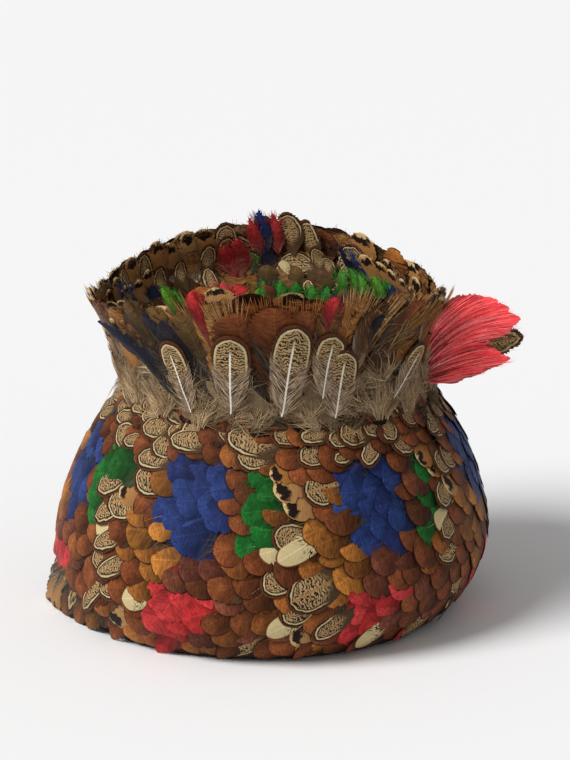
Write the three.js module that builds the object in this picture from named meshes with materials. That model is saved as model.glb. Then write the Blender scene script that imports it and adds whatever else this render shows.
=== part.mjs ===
// A feather hat: a blocked felt body with a round bubble, a narrow waist and a flared crown whose tip is sunk
// like a bowl. Courses of overlapping feathers cover the bubble, a ring of down hides the waist, a ruff of long
// feathers stands round the crown, and shorter courses line the bowl. Millimetres, +Z up, standing on its rim.
// The wearer's face is at -Y. The origin is under the middle of the hat's box, on the floor.

import * as THREE from "three";

// Felt body: widths run side to side, depths front to back, heights up from the floor. A lean shifts a level
// to the right, and a droop lowers its two sides.
const RIM_WIDTH = 198;
const RIM_DEPTH = 206;
const RIM_HEIGHT = 3;
const RIM_LEAN = -4;
const BUBBLE_WIDTH = 226;
const BUBBLE_DEPTH = 242;
const BUBBLE_HEIGHT = 36;
const BUBBLE_LEAN = 2;
const WAIST_WIDTH = 157;
const WAIST_DEPTH = 168;
const WAIST_HEIGHT = 121;
const WAIST_LEAN = 6;
const CROWN_WIDTH = 166;
const CROWN_DEPTH = 172;
const CROWN_HEIGHT = 161;
const CROWN_LEAN = 2;
const CROWN_DROOP = 9;
const BOWL_DEPTH = 21;
const FELT_WALL = 2.5;

// Binding folded over the edge of the felt.
const BINDING_WALL = 1.2;
const BINDING_GAP = 0.4;
const BINDING_REACH = 11;

// Feathers are leaves of one thickness. Layers keep a clearance, and each leaf laps over its neighbour by a step.
const FEATHER_WALL = 1;
const LAYER_CLEARANCE = 0.6;
const LAP_STEP = 0.6;

// Courses that cover the bubble from the hem to the waist, the tips down and swept sideways.
const BUBBLE_COURSES = 5;
const BUBBLE_LAP = 9;
const BUBBLE_RISE = 3.6;
const BUBBLE_LEAF_WIDTH = 36;
const BUBBLE_SCALLOP = 12;
const HEM_HEIGHT = 12;
const HEM_SWEEP = 36;
const WAIST_SWEEP = 58;

// Ruff of feathers that stand round the crown.
const RUFF_WIDTH = 182;
const RUFF_DEPTH = 184;
const RUFF_HEIGHT = 188;
const RUFF_DROOP = 17;
const RUFF_FEATHERS = 22;
const RUFF_SCALLOP = 13;

// Courses that line the bowl, from its rim inwards, the tips outwards. Root and tip are shares of the way from
// the bowl's middle to the tips of the outermost course.
const BOWL_TIP_INSET = 7;
const BOWL_RISE = 5;
const BOWL_COURSES = [
  { feathers: 18, root: 0.62, tip: 1, scallop: 10 },
  { feathers: 13, root: 0.36, tip: 0.74, scallop: 10 },
  { feathers: 8, root: 0.1, tip: 0.48, scallop: 9 },
];

// Ring of down round the waist.
const DOWN_TUFTS = 22;
const DOWN_ROOT_DROP = 7;
const DOWN_REACH = 31;
const DOWN_WALL = 2;
const DOWN_LIFT = 0.8;
const DOWN_SCALLOP = 14;

// Upright feathers with white shafts, laid over the front. Angles are in degrees round the hat from its right
// side, negative at the front. Lean is how far a tip turns to the right of upright.
const SHAFT_FEATHER_LENGTH = 50;
const SHAFT_FEATHER_WIDTH = 20;
const SHAFT_FEATHER_CLIMB = 4;
const SHAFT_FEATHERS = [
  { angle: -119, reach: 0.84, lean: -10 },
  { angle: -104, reach: 0.92, lean: 4 },
  { angle: -86, reach: 1, lean: 12 },
  { angle: -69, reach: 0.8, lean: 14 },
  { angle: -47, reach: 0.74, lean: 40 },
];

// Blue hackles at the left, laid on the ruff above the down with their tips swept back.
const BLUE_HACKLE_LENGTH = 58;
const BLUE_HACKLE_WIDTH = 15;
const BLUE_HACKLES = [
  { angle: -125, climb: 28, lean: -68 },
  { angle: -113, climb: 26, lean: -70 },
];

// Red pads at the right, which stand out past the ruff. Swing turns one towards the back, and pitch raises it.
const RED_PAD_LENGTH = 48;
const RED_PAD_WIDTH = 28;
const RED_PAD_ANGLE = -22;
const RED_PADS = [
  { climb: 38, swing: 15, pitch: 16, reach: 1 },
  { climb: 20, swing: 0, pitch: 7, reach: 0.96 },
];

const ROUND_SEGMENTS = 36;
const DEGREE = Math.PI / 180;
const UP = new THREE.Vector3(0, 0, 1);
const mix = THREE.MathUtils.lerp;

// The thickest that a course of leaves gets, and the offset at which the next layer over it may start.
const COURSE_THICKNESS = FEATHER_WALL + LAP_STEP;
const OVER_RUFF = LAYER_CLEARANCE + COURSE_THICKNESS + LAYER_CLEARANCE;
const OVER_DOWN = OVER_RUFF + DOWN_LIFT + DOWN_WALL + LAP_STEP + LAYER_CLEARANCE;

// The named levels that the profiles run between.
const LEVELS = {
  rim: { width: RIM_WIDTH, depth: RIM_DEPTH, height: RIM_HEIGHT, lean: RIM_LEAN, droop: 0 },
  bubble: { width: BUBBLE_WIDTH, depth: BUBBLE_DEPTH, height: BUBBLE_HEIGHT, lean: BUBBLE_LEAN, droop: 0 },
  waist: { width: WAIST_WIDTH, depth: WAIST_DEPTH, height: WAIST_HEIGHT, lean: WAIST_LEAN, droop: 0 },
  crown: { width: CROWN_WIDTH, depth: CROWN_DEPTH, height: CROWN_HEIGHT, lean: CROWN_LEAN, droop: CROWN_DROOP },
  bowl: { width: 0, depth: 0, height: CROWN_HEIGHT - BOWL_DEPTH, lean: CROWN_LEAN, droop: 0 },
  ruff: { width: RUFF_WIDTH, depth: RUFF_DEPTH, height: RUFF_HEIGHT, lean: 0, droop: RUFF_DROOP },
  bowlTips: {
    width: RUFF_WIDTH - 2 * BOWL_TIP_INSET,
    depth: RUFF_DEPTH - 2 * BOWL_TIP_INSET,
    height: RUFF_HEIGHT - BOWL_TIP_INSET / 2,
    lean: 0,
    droop: RUFF_DROOP,
  },
};

// Profile rows: how far outwards and upwards a row lies on the way from one level to the next.
const BOWL_ROWS = [
  { from: "bowl", to: "crown", out: 0.42, up: 0.12 },
  { from: "bowl", to: "crown", out: 0.75, up: 0.48 },
  { from: "bowl", to: "crown", out: 0.92, up: 0.88 },
];
const BODY_PROFILE = [
  { from: "rim", to: "bubble", out: 0, up: 0 },
  { from: "rim", to: "bubble", out: 0.38, up: 0.2 },
  { from: "rim", to: "bubble", out: 0.8, up: 0.52 },
  { from: "bubble", to: "waist", out: 0, up: 0 },
  { from: "bubble", to: "waist", out: 0.07, up: 0.22 },
  { from: "bubble", to: "waist", out: 0.25, up: 0.46 },
  { from: "bubble", to: "waist", out: 0.53, up: 0.69 },
  { from: "bubble", to: "waist", out: 0.86, up: 0.89 },
  { from: "waist", to: "crown", out: 0, up: 0.06 },
  { from: "waist", to: "crown", out: 0.35, up: 0.5 },
  { from: "waist", to: "crown", out: 0.9, up: 0.92 },
  { from: "crown", to: "bowl", out: 0.03, up: 0 },
  ...BOWL_ROWS.toReversed(),
  { from: "crown", to: "bowl", out: 1, up: 1 },
];
const RUFF_PROFILE = [
  { from: "bubble", to: "waist", out: 0.86, up: 0.89 },
  { from: "waist", to: "crown", out: 0, up: 0.06 },
  { from: "waist", to: "crown", out: 0.45, up: 0.5 },
  { from: "waist", to: "crown", out: 1, up: 0.92 },
  { from: "crown", to: "ruff", out: 0.5, up: 0.5 },
  { from: "crown", to: "ruff", out: 1, up: 1 },
];
const BOWL_PROFILE = [
  { from: "bowl", to: "crown", out: 0, up: 0 },
  ...BOWL_ROWS,
  { from: "crown", to: "bowlTips", out: 0.2, up: 0.35 },
  { from: "crown", to: "bowlTips", out: 1, up: 1 },
];

// Columns of one leaf of a course, across its width: short is the share of the scallop that is cut off there.
const SCALE_LEAF = [
  { across: 0, short: 1 },
  { across: 0.32, short: 0.1 },
  { across: 0.68, short: 0.1 },
  { across: 1, short: 1 },
];
const ROUND_LEAF = [
  { across: 0, short: 1 },
  { across: 0.22, short: 0.22 },
  { across: 0.5, short: 0 },
  { across: 0.78, short: 0.22 },
  { across: 1, short: 1 },
];
const TUFT_LEAF = [
  { across: 0, short: 1 },
  { across: 0.4, short: 0 },
  { across: 0.7, short: 0.45 },
  { across: 1, short: 1 },
];

// Outline of a feather laid by itself: its half width along its length, as a share of its greatest half width.
const OVAL_FEATHER = [
  { along: 0, half: 0.3 },
  { along: 0.45, half: 0.9 },
  { along: 0.8, half: 1 },
  { along: 1, half: 0.42 },
];
const POINTED_FEATHER = [
  { along: 0, half: 0.4 },
  { along: 0.2, half: 0.85 },
  { along: 0.4, half: 1 },
  { along: 0.6, half: 0.85 },
  { along: 0.8, half: 0.6 },
  { along: 1, half: 0.12 },
];
const FAN_FEATHER = [
  { along: 0, half: 0.36 },
  { along: 0.45, half: 0.86 },
  { along: 0.8, half: 1 },
  { along: 1, half: 0.66 },
];

// A surface round the hat through oval levels. A place on it is an angle and a distance along its profile, and
// an offset lifts that place towards the side that faces out, or up in the bowl.
class LaySurface {
  constructor(profile, facing = 1) {
    const rows = profile.map(({ from, to, out, up }) => {
      const a = LEVELS[from];
      const b = LEVELS[to];
      const half = new THREE.Vector3(mix(a.width, b.width, out) / 2, mix(a.depth, b.depth, out) / 2, 0);
      return {
        size: half.setZ(mix(a.height, b.height, up)),
        drift: new THREE.Vector3(mix(a.lean, b.lean, up), mix(a.droop, b.droop, up), 0),
      };
    });
    this.facing = facing;
    this.sizes = new THREE.CatmullRomCurve3(rows.map((row) => row.size));
    this.drifts = new THREE.CatmullRomCurve3(rows.map((row) => row.drift));
    this.stepsPerRow = 24;
    this.steps = (rows.length - 1) * this.stepsPerRow;
    this.lengths = [0];
    for (let i = 1; i <= this.steps; i++) {
      const last = this.sizes.getPoint((i - 1) / this.steps);
      const next = this.sizes.getPoint(i / this.steps);
      this.lengths.push(this.lengths[i - 1] + Math.hypot(next.x - last.x, next.z - last.z));
    }
    this.length = this.lengths[this.steps];
    this.rowDistances = rows.map((_, i) => this.lengths[i * this.stepsPerRow]);
  }

  section(distance) {
    const wanted = THREE.MathUtils.clamp(distance, 0, this.length);
    const i = Math.max(this.lengths.findIndex((length) => length >= wanted), 1);
    const span = this.lengths[i] - this.lengths[i - 1];
    const t = (i - 1 + (span > 0 ? (wanted - this.lengths[i - 1]) / span : 0)) / this.steps;
    return { size: this.sizes.getPoint(t), drift: this.drifts.getPoint(t) };
  }

  bare(angle, distance) {
    const { size, drift } = this.section(distance);
    return new THREE.Vector3(
      drift.x + size.x * Math.cos(angle),
      size.y * Math.sin(angle),
      size.z - drift.y * Math.cos(angle) ** 2,
    );
  }

  normal(angle, distance) {
    const reach = 0.4;
    const turn = 0.01;
    const around = this.bare(angle + turn, distance).sub(this.bare(angle - turn, distance));
    const further = this.bare(angle, Math.min(distance + reach, this.length));
    const nearer = this.bare(angle, Math.max(distance - reach, 0));
    const across = around.cross(further.sub(nearer)).multiplyScalar(this.facing);
    return across.length() < 1e-3 ? UP.clone() : across.normalize();
  }

  point(angle, distance, offset = 0) {
    return this.bare(angle, distance).addScaledVector(this.normal(angle, distance), offset);
  }

  radius(distance) {
    const { size } = this.section(distance);
    return (size.x + size.y) / 2;
  }

  distanceAtHeight(height) {
    return this.lengths[this.lengths.findIndex((_, i) => this.sizes.getPoint(i / this.steps).z >= height)];
  }
}

// A closed mesh built corner by corner. A face whose corners coincide loses those corners.
class Skin {
  constructor() {
    this.corners = [];
    this.faces = [];
  }

  corner(point) {
    return this.corners.push(point) - 1;
  }

  quad(a, b, c, d) {
    for (const face of [
      [a, b, c],
      [a, c, d],
    ]) {
      if (new Set(face).size === 3) this.faces.push(face);
    }
  }

  volume() {
    const sixth = ([a, b, c]) => this.corners[a].dot(this.corners[b].clone().cross(this.corners[c])) / 6;
    return this.faces.reduce((sum, face) => sum + sixth(face), 0);
  }

  geometry() {
    const faces = this.volume() < 0 ? this.faces.map(([a, b, c]) => [a, c, b]) : this.faces;
    const geometry = new THREE.BufferGeometry().setFromPoints(this.corners).setIndex(faces.flat());
    geometry.computeVertexNormals();
    return geometry;
  }
}

const anglesOf = (count) => Array.from({ length: count }, (_, i) => (i * 2 * Math.PI) / count);

// A ring skinned over a loop of places on the profile. Each station gives the point at an angle, or a corner of
// its own for a pole.
function skinRound(stations) {
  const skin = new Skin();
  const rings = stations.map(({ place, pole }) => {
    if (pole) return Array(ROUND_SEGMENTS).fill(skin.corner(place(0)));
    return anglesOf(ROUND_SEGMENTS).map((angle) => skin.corner(place(angle)));
  });
  rings.forEach((ring, r) => {
    const next = rings[(r + 1) % rings.length];
    ring.forEach((corner, k) => {
      const after = (k + 1) % ROUND_SEGMENTS;
      skin.quad(corner, ring[after], next[after], next[k]);
    });
  });
  return skin.geometry();
}

// The blocked felt: one shell from the rim over the crown's edge to the middle of the bowl, open underneath.
function feltBody(body) {
  const stationsAt = (offset) =>
    body.rowDistances.map((distance) => ({
      place: (angle) => body.point(angle, distance, offset),
      pole: distance === body.length,
    }));
  return skinRound([...stationsAt(0), ...stationsAt(-FELT_WALL).toReversed()]);
}

// The binding: a channel round the felt's edge, with a flat foot that the hat stands on.
function rimBinding(body) {
  const near = BINDING_GAP;
  const far = BINDING_GAP + BINDING_WALL;
  const place = (distance, offset) => ({ place: (angle) => body.point(angle, distance, offset) });
  const level = (offset, height) => ({ place: (angle) => body.point(angle, 0, offset).setZ(height) });
  return skinRound([
    place(BINDING_REACH, far),
    level(far, 0),
    level(-FELT_WALL - far, 0),
    place(0, -FELT_WALL - far),
    place(BINDING_REACH, -FELT_WALL - far),
    place(BINDING_REACH, -FELT_WALL - near),
    place(0, -FELT_WALL - near),
    level(-FELT_WALL - near, BINDING_WALL),
    level(near, BINDING_WALL),
    place(BINDING_REACH, near),
  ]);
}

// A course: a ring of leaves side by side, each over the edge of the one before it. The course runs from root to
// tip along the profile and rises off the surface on the way. Sweep slants the leaves, in degrees.
function course(surface, { leaves, leaf, rows, root, tip, scallop, sweep = 0, turn = 0, base, rise = 0, wall }) {
  const skin = new Skin();
  const forward = Math.sign(tip - root);
  const pitch = (2 * Math.PI) / leaves;
  const radius = surface.radius((root + tip) / 2);
  const place = (i, { across, short }, row, offset) => {
    const end = tip - forward * scallop * short;
    const run = Math.abs(end - root) * row;
    const slant = (run * Math.tan(sweep * DEGREE)) / radius;
    const lift = base + (rise * run) / Math.abs(tip - root);
    return surface.point(turn + (i + across) * pitch + slant, root + forward * run, lift + offset);
  };
  const upper = [];
  const lower = [];
  for (let i = 0; i < leaves; i++) {
    for (const column of leaf) {
      upper.push(rows.map((row) => skin.corner(place(i, column, row, wall + LAP_STEP * column.across))));
    }
    for (const column of leaf.slice(0, -1)) {
      lower.push(rows.map((row) => skin.corner(place(i, column, row, 0))));
    }
  }
  const underOf = (k) => lower[(Math.floor(k / leaf.length) * (leaf.length - 1) + (k % leaf.length)) % lower.length];
  upper.forEach((column, k) => {
    const next = (k + 1) % upper.length;
    const under = underOf(k);
    const underNext = underOf(next);
    for (let r = 0; r + 1 < rows.length; r++) {
      skin.quad(column[r], upper[next][r], upper[next][r + 1], column[r + 1]);
      skin.quad(under[r], under[r + 1], underNext[r + 1], underNext[r]);
    }
    const end = rows.length - 1;
    skin.quad(column[0], under[0], underNext[0], upper[next][0]);
    skin.quad(column[end], upper[next][end], underNext[end], under[end]);
  });
  return skin.geometry();
}

// A feather by itself: a thin leaf of the given outline. Place gives the point at a share across it, a length
// along it and an offset through it.
function singleFeather(outline, length, width, place) {
  const skin = new Skin();
  const [upper, lower] = [FEATHER_WALL, 0].map((offset) =>
    outline.map(({ along, half }) =>
      [-1, 0, 1].map((across) => skin.corner(place((across * half * width) / 2, along * length, offset))),
    ),
  );
  const edge = (sheet) => [
    ...sheet[0],
    ...sheet.slice(1, -1).map((row) => row[2]),
    ...sheet.at(-1).toReversed(),
    ...sheet.slice(1, -1).toReversed().map((row) => row[0]),
  ];
  for (let r = 0; r + 1 < outline.length; r++) {
    for (let c = 0; c < 2; c++) {
      skin.quad(upper[r][c], upper[r][c + 1], upper[r + 1][c + 1], upper[r + 1][c]);
      skin.quad(lower[r][c], lower[r + 1][c], lower[r + 1][c + 1], lower[r][c + 1]);
    }
  }
  const top = edge(upper);
  const bottom = edge(lower);
  top.forEach((corner, k) => {
    const next = (k + 1) % top.length;
    skin.quad(top[next], corner, bottom[k], bottom[next]);
  });
  return skin.geometry();
}

// A feather that lies on a surface over a lower layer, its tip leaning to the right of upright.
function laidFeather(surface, outline, { angle, distance, lean, length, width, base }) {
  const radius = surface.radius(distance);
  const turn = lean * DEGREE;
  return singleFeather(outline, length, width, (aside, along, offset) => {
    const around = along * Math.sin(turn) + aside * Math.cos(turn);
    const up = along * Math.cos(turn) - aside * Math.sin(turn);
    return surface.point(angle * DEGREE + around / radius, distance + up, base + offset);
  });
}

// A pad that leaves the surface and stands out to the right, bending a little backwards towards its tip.
function standingPad(surface, outline, { angle, distance, swing, pitch, length, width, base }) {
  const start = surface.point(angle * DEGREE, distance, base);
  const forward = new THREE.Vector3(1, 0, 0).applyEuler(new THREE.Euler(0, -pitch * DEGREE, swing * DEGREE, "ZYX"));
  const side = new THREE.Vector3(0, 0, 1).applyEuler(new THREE.Euler(0, -pitch * DEGREE, swing * DEGREE, "ZYX"));
  const face = forward.clone().cross(side);
  const cup = 0.12;
  return singleFeather(outline, length, width, (aside, along, offset) => {
    const bend = cup * ((2 * aside) / width) ** 2 * along;
    return start
      .clone()
      .addScaledVector(forward, along)
      .addScaledVector(side, aside)
      .addScaledVector(face, offset + bend);
  });
}

const FINISHES = {
  felt: { color: 0x2a1c14, roughness: 0.95 },
  binding: { color: 0x33211a, roughness: 0.9 },
  rust: { color: 0x8a4526, roughness: 0.7 },
  speckled: { color: 0xcdbb8b, roughness: 0.75 },
  gold: { color: 0xb07c3c, roughness: 0.75 },
  down: { color: 0x8b765c, roughness: 0.95 },
  blue: { color: 0x23386e, roughness: 0.7 },
  red: { color: 0xc23040, roughness: 0.7 },
};

function named(name, geometry, finish) {
  const mesh = new THREE.Mesh(geometry, new THREE.MeshStandardMaterial({ ...FINISHES[finish], metalness: 0 }));
  mesh.name = name;
  return mesh;
}

// The courses of the bubble, counted from the hem. Each lies over the roots of the one below it.
function bubbleCourses(body) {
  const hem = body.distanceAtHeight(HEM_HEIGHT);
  const waist = body.distanceAtHeight(WAIST_HEIGHT);
  const pitch = (waist - hem) / BUBBLE_COURSES;
  return Array.from({ length: BUBBLE_COURSES }, (_, i) => {
    const top = i === BUBBLE_COURSES - 1;
    const tip = hem + i * pitch;
    const root = top ? waist : tip + pitch + BUBBLE_LAP;
    const leaves = Math.round((2 * Math.PI * body.radius(tip + pitch / 2)) / BUBBLE_LEAF_WIDTH);
    const sweep = -mix(HEM_SWEEP, WAIST_SWEEP, i / (BUBBLE_COURSES - 1));
    const geometry = course(body, {
      leaves,
      leaf: SCALE_LEAF,
      rows: [0, 0.5, 1],
      root,
      tip,
      scallop: BUBBLE_SCALLOP,
      sweep,
      turn: i,
      base: LAYER_CLEARANCE,
      rise: BUBBLE_RISE,
      wall: FEATHER_WALL,
    });
    return named("bubble_course_" + (i + 1), geometry, i % 2 ? "speckled" : "rust");
  });
}

function ruffRing(ruff) {
  const geometry = course(ruff, {
    leaves: RUFF_FEATHERS,
    leaf: ROUND_LEAF,
    rows: [0, 0.22, 0.5, 1],
    root: ruff.distanceAtHeight(WAIST_HEIGHT) + LAYER_CLEARANCE,
    tip: ruff.length,
    scallop: RUFF_SCALLOP,
    base: LAYER_CLEARANCE,
    wall: FEATHER_WALL,
  });
  return named("ruff", geometry, "gold");
}

function downRing(ruff) {
  const root = ruff.distanceAtHeight(WAIST_HEIGHT - DOWN_ROOT_DROP);
  const geometry = course(ruff, {
    leaves: DOWN_TUFTS,
    leaf: TUFT_LEAF,
    rows: [0, 0.45, 1],
    root,
    tip: root + DOWN_REACH,
    scallop: DOWN_SCALLOP,
    base: OVER_RUFF + DOWN_LIFT,
    rise: -DOWN_LIFT,
    wall: DOWN_WALL,
  });
  return named("waist_down", geometry, "down");
}

function bowlCourses(bowl) {
  return BOWL_COURSES.map(({ feathers, root, tip, scallop }, i) => {
    const geometry = course(bowl, {
      leaves: feathers,
      leaf: SCALE_LEAF,
      rows: [0, 0.35, 0.7, 1],
      root: root * bowl.length,
      tip: tip * bowl.length,
      scallop,
      turn: i,
      base: LAYER_CLEARANCE,
      rise: BOWL_RISE,
      wall: FEATHER_WALL,
    });
    return named("bowl_course_" + (i + 1), geometry, i % 2 ? "rust" : "gold");
  });
}

function shaftFeathers(ruff) {
  return SHAFT_FEATHERS.map(({ angle, reach, lean }, i) => {
    const geometry = laidFeather(ruff, OVAL_FEATHER, {
      angle,
      distance: ruff.distanceAtHeight(WAIST_HEIGHT + SHAFT_FEATHER_CLIMB),
      lean,
      length: SHAFT_FEATHER_LENGTH * reach,
      width: SHAFT_FEATHER_WIDTH,
      base: OVER_DOWN,
    });
    return named("shaft_feather_" + (i + 1), geometry, "speckled");
  });
}

function blueHackles(ruff) {
  return BLUE_HACKLES.map(({ angle, climb, lean }, i) => {
    const geometry = laidFeather(ruff, POINTED_FEATHER, {
      angle,
      distance: ruff.distanceAtHeight(WAIST_HEIGHT) + climb,
      lean,
      length: BLUE_HACKLE_LENGTH,
      width: BLUE_HACKLE_WIDTH,
      base: OVER_RUFF + i * (FEATHER_WALL + LAYER_CLEARANCE),
    });
    return named("blue_hackle_" + (i + 1), geometry, "blue");
  });
}

function redPads(ruff) {
  return RED_PADS.map(({ climb, swing, pitch, reach }, i) => {
    const geometry = standingPad(ruff, FAN_FEATHER, {
      angle: RED_PAD_ANGLE,
      distance: ruff.distanceAtHeight(WAIST_HEIGHT) + climb,
      swing,
      pitch,
      length: RED_PAD_LENGTH * reach,
      width: RED_PAD_WIDTH,
      base: OVER_RUFF + DOWN_WALL + LAYER_CLEARANCE,
    });
    return named("red_pad_" + (i + 1), geometry, "red");
  });
}

function featherHat() {
  const body = new LaySurface(BODY_PROFILE);
  const ruff = new LaySurface(RUFF_PROFILE);
  const bowl = new LaySurface(BOWL_PROFILE, -1);
  const hat = new THREE.Group();
  hat.add(
    named("felt_body", feltBody(body), "felt"),
    named("rim_binding", rimBinding(body), "binding"),
    ...bubbleCourses(body),
    downRing(ruff),
    ruffRing(ruff),
    ...bowlCourses(bowl),
    ...shaftFeathers(ruff),
    ...blueHackles(ruff),
    ...redPads(ruff),
  );
  const middle = new THREE.Box3().setFromObject(hat).getCenter(new THREE.Vector3());
  hat.position.set(-middle.x, -middle.y, 0);
  return hat;
}

export default featherHat();
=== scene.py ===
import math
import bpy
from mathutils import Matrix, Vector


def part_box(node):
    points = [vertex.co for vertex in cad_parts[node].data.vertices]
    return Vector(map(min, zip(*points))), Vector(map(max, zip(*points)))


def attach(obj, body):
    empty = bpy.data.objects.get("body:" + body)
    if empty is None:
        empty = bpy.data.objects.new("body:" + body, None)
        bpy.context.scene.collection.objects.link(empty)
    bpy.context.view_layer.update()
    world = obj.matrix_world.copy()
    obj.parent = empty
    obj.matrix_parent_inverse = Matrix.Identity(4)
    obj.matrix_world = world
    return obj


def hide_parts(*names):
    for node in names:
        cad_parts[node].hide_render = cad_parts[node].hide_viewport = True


bl_info = {
    "name": "Feather Hat",
    "version": (1, 0, 0),
    "blender": (4, 5, 0),
    "location": "3D View > Sidebar > Feather Hat",
    "description": "Feathers, down, dyed patches and felt of a hollow feather hat, with a plain stage",
    "category": "Add Mesh",
}

import bpy
import numpy as np
from mathutils import Vector

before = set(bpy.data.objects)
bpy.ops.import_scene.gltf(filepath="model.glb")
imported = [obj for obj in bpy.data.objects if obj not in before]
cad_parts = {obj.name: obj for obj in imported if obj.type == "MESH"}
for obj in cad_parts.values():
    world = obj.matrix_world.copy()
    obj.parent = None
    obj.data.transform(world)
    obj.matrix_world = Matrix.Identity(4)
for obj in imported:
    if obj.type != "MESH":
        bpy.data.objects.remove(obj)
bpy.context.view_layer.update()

# Levels of the hat's ovals in millimetres, as the CAD part has them: width, depth, height, lean and droop.
LEVELS = {
    "rim": (198, 206, 3, -4, 0),
    "bubble": (226, 242, 36, 2, 0),
    "waist": (157, 168, 121, 6, 0),
    "crown": (166, 172, 161, 2, 9),
    "bowl": (0, 0, 140, 2, 0),
    "ruff": (182, 184, 188, 0, 17),
    "bowl_tips": (168, 170, 184.5, 0, 17),
}
BOWL_ROWS = [
    ("bowl", "crown", 0.42, 0.12),
    ("bowl", "crown", 0.75, 0.48),
    ("bowl", "crown", 0.92, 0.88),
]
# Rows of the profiles: from one level to another, the share of the way outwards and upwards.
BODY_PROFILE = [
    ("rim", "bubble", 0, 0),
    ("rim", "bubble", 0.38, 0.2),
    ("rim", "bubble", 0.8, 0.52),
    ("bubble", "waist", 0, 0),
    ("bubble", "waist", 0.07, 0.22),
    ("bubble", "waist", 0.25, 0.46),
    ("bubble", "waist", 0.53, 0.69),
    ("bubble", "waist", 0.86, 0.89),
    ("waist", "crown", 0, 0.06),
    ("waist", "crown", 0.35, 0.5),
    ("waist", "crown", 0.9, 0.92),
]
RUFF_PROFILE = [
    ("bubble", "waist", 0.86, 0.89),
    ("waist", "crown", 0, 0.06),
    ("waist", "crown", 0.45, 0.5),
    ("waist", "crown", 1, 0.92),
    ("crown", "ruff", 0.5, 0.5),
    ("crown", "ruff", 1, 1),
]
BOWL_PROFILE = [
    ("bowl", "crown", 0, 0),
    *BOWL_ROWS,
    ("crown", "bowl_tips", 0.2, 0.35),
    ("crown", "bowl_tips", 1, 1),
]
METRES = 0.001
FLOOR_GAP = 0.4
BUBBLE_LEAN = LEVELS["bubble"][3]
FELT_LOW, FELT_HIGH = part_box("felt_body")
AXIS_X = (FELT_LOW.x + FELT_HIGH.x) / 2 / METRES - BUBBLE_LEAN

# Pattern of the bubble's feathers from the top row down, one letter for each column of a unit: R rust, O gold
# orange, M mauve, B blue, G green, D red, S speckled, K gold with a black band, C cream.
UNIT_CHART = [
    "RSRRSRSR",
    "SRSRRSRS",
    "RRRSRRSR",
    "BBBRGKRR",
    "BBBRGKSO",
    "BBBRGRKR",
    "BBBRGSOR",
    "OBBRGCRO",
    "OMMRRROO",
    "OMRRRSRR",
    "DDDMRRRO",
    "DDDRRRSR",
    "DDMRMRKR",
    "RDRRSRRO",
]
UNITS = 7
UNIT_START = -33.6
HEM_CLIMB = 7.5
ROW_GAP = 9.3

# How far below level the bubble's feathers point, in degrees, at a distance up from the hem in millimetres.
SWEEP_CLIMBS = (0, 20, 45, 75, 100, 130)
SWEEP_DEGREES = (44, 36, 24, 16, 9, 6)


def spline(rows, steps):
    """Points on a centripetal Catmull-Rom curve: each span is a cubic between two rows whose slopes come from
    their neighbours, each weighted by the square root of its distance."""
    ends = np.vstack([2 * rows[0] - rows[1], rows, 2 * rows[-1] - rows[-2]])
    before, start, stop, after = ends[:-3], ends[1:-2], ends[2:-1], ends[3:]

    def gap(first, second):
        return np.sqrt(np.linalg.norm(second - first, axis=1, keepdims=True))

    gap_in, gap_out = gap(before, start), gap(stop, after)
    span = gap(start, stop)
    span = np.where(span < 1e-4, 1, span)
    gap_in = np.where(gap_in < 1e-4, span, gap_in)
    gap_out = np.where(gap_out < 1e-4, span, gap_out)
    chord = (stop - start) / span
    slope_in = ((start - before) / gap_in - (stop - before) / (gap_in + span) + chord) * span
    slope_out = (chord - (after - start) / (span + gap_out) + (after - stop) / gap_out) * span
    t = (np.arange(steps) / steps)[None, :, None]
    start, stop, slope_in, slope_out = (part[:, None] for part in (start, stop, slope_in, slope_out))
    square = -3 * start + 3 * stop - 2 * slope_in - slope_out
    cube = 2 * start - 2 * stop + slope_in + slope_out
    curve = start + slope_in * t + square * t**2 + cube * t**3
    return np.vstack([curve.reshape(-1, rows.shape[1]), rows[-1:]])


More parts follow.
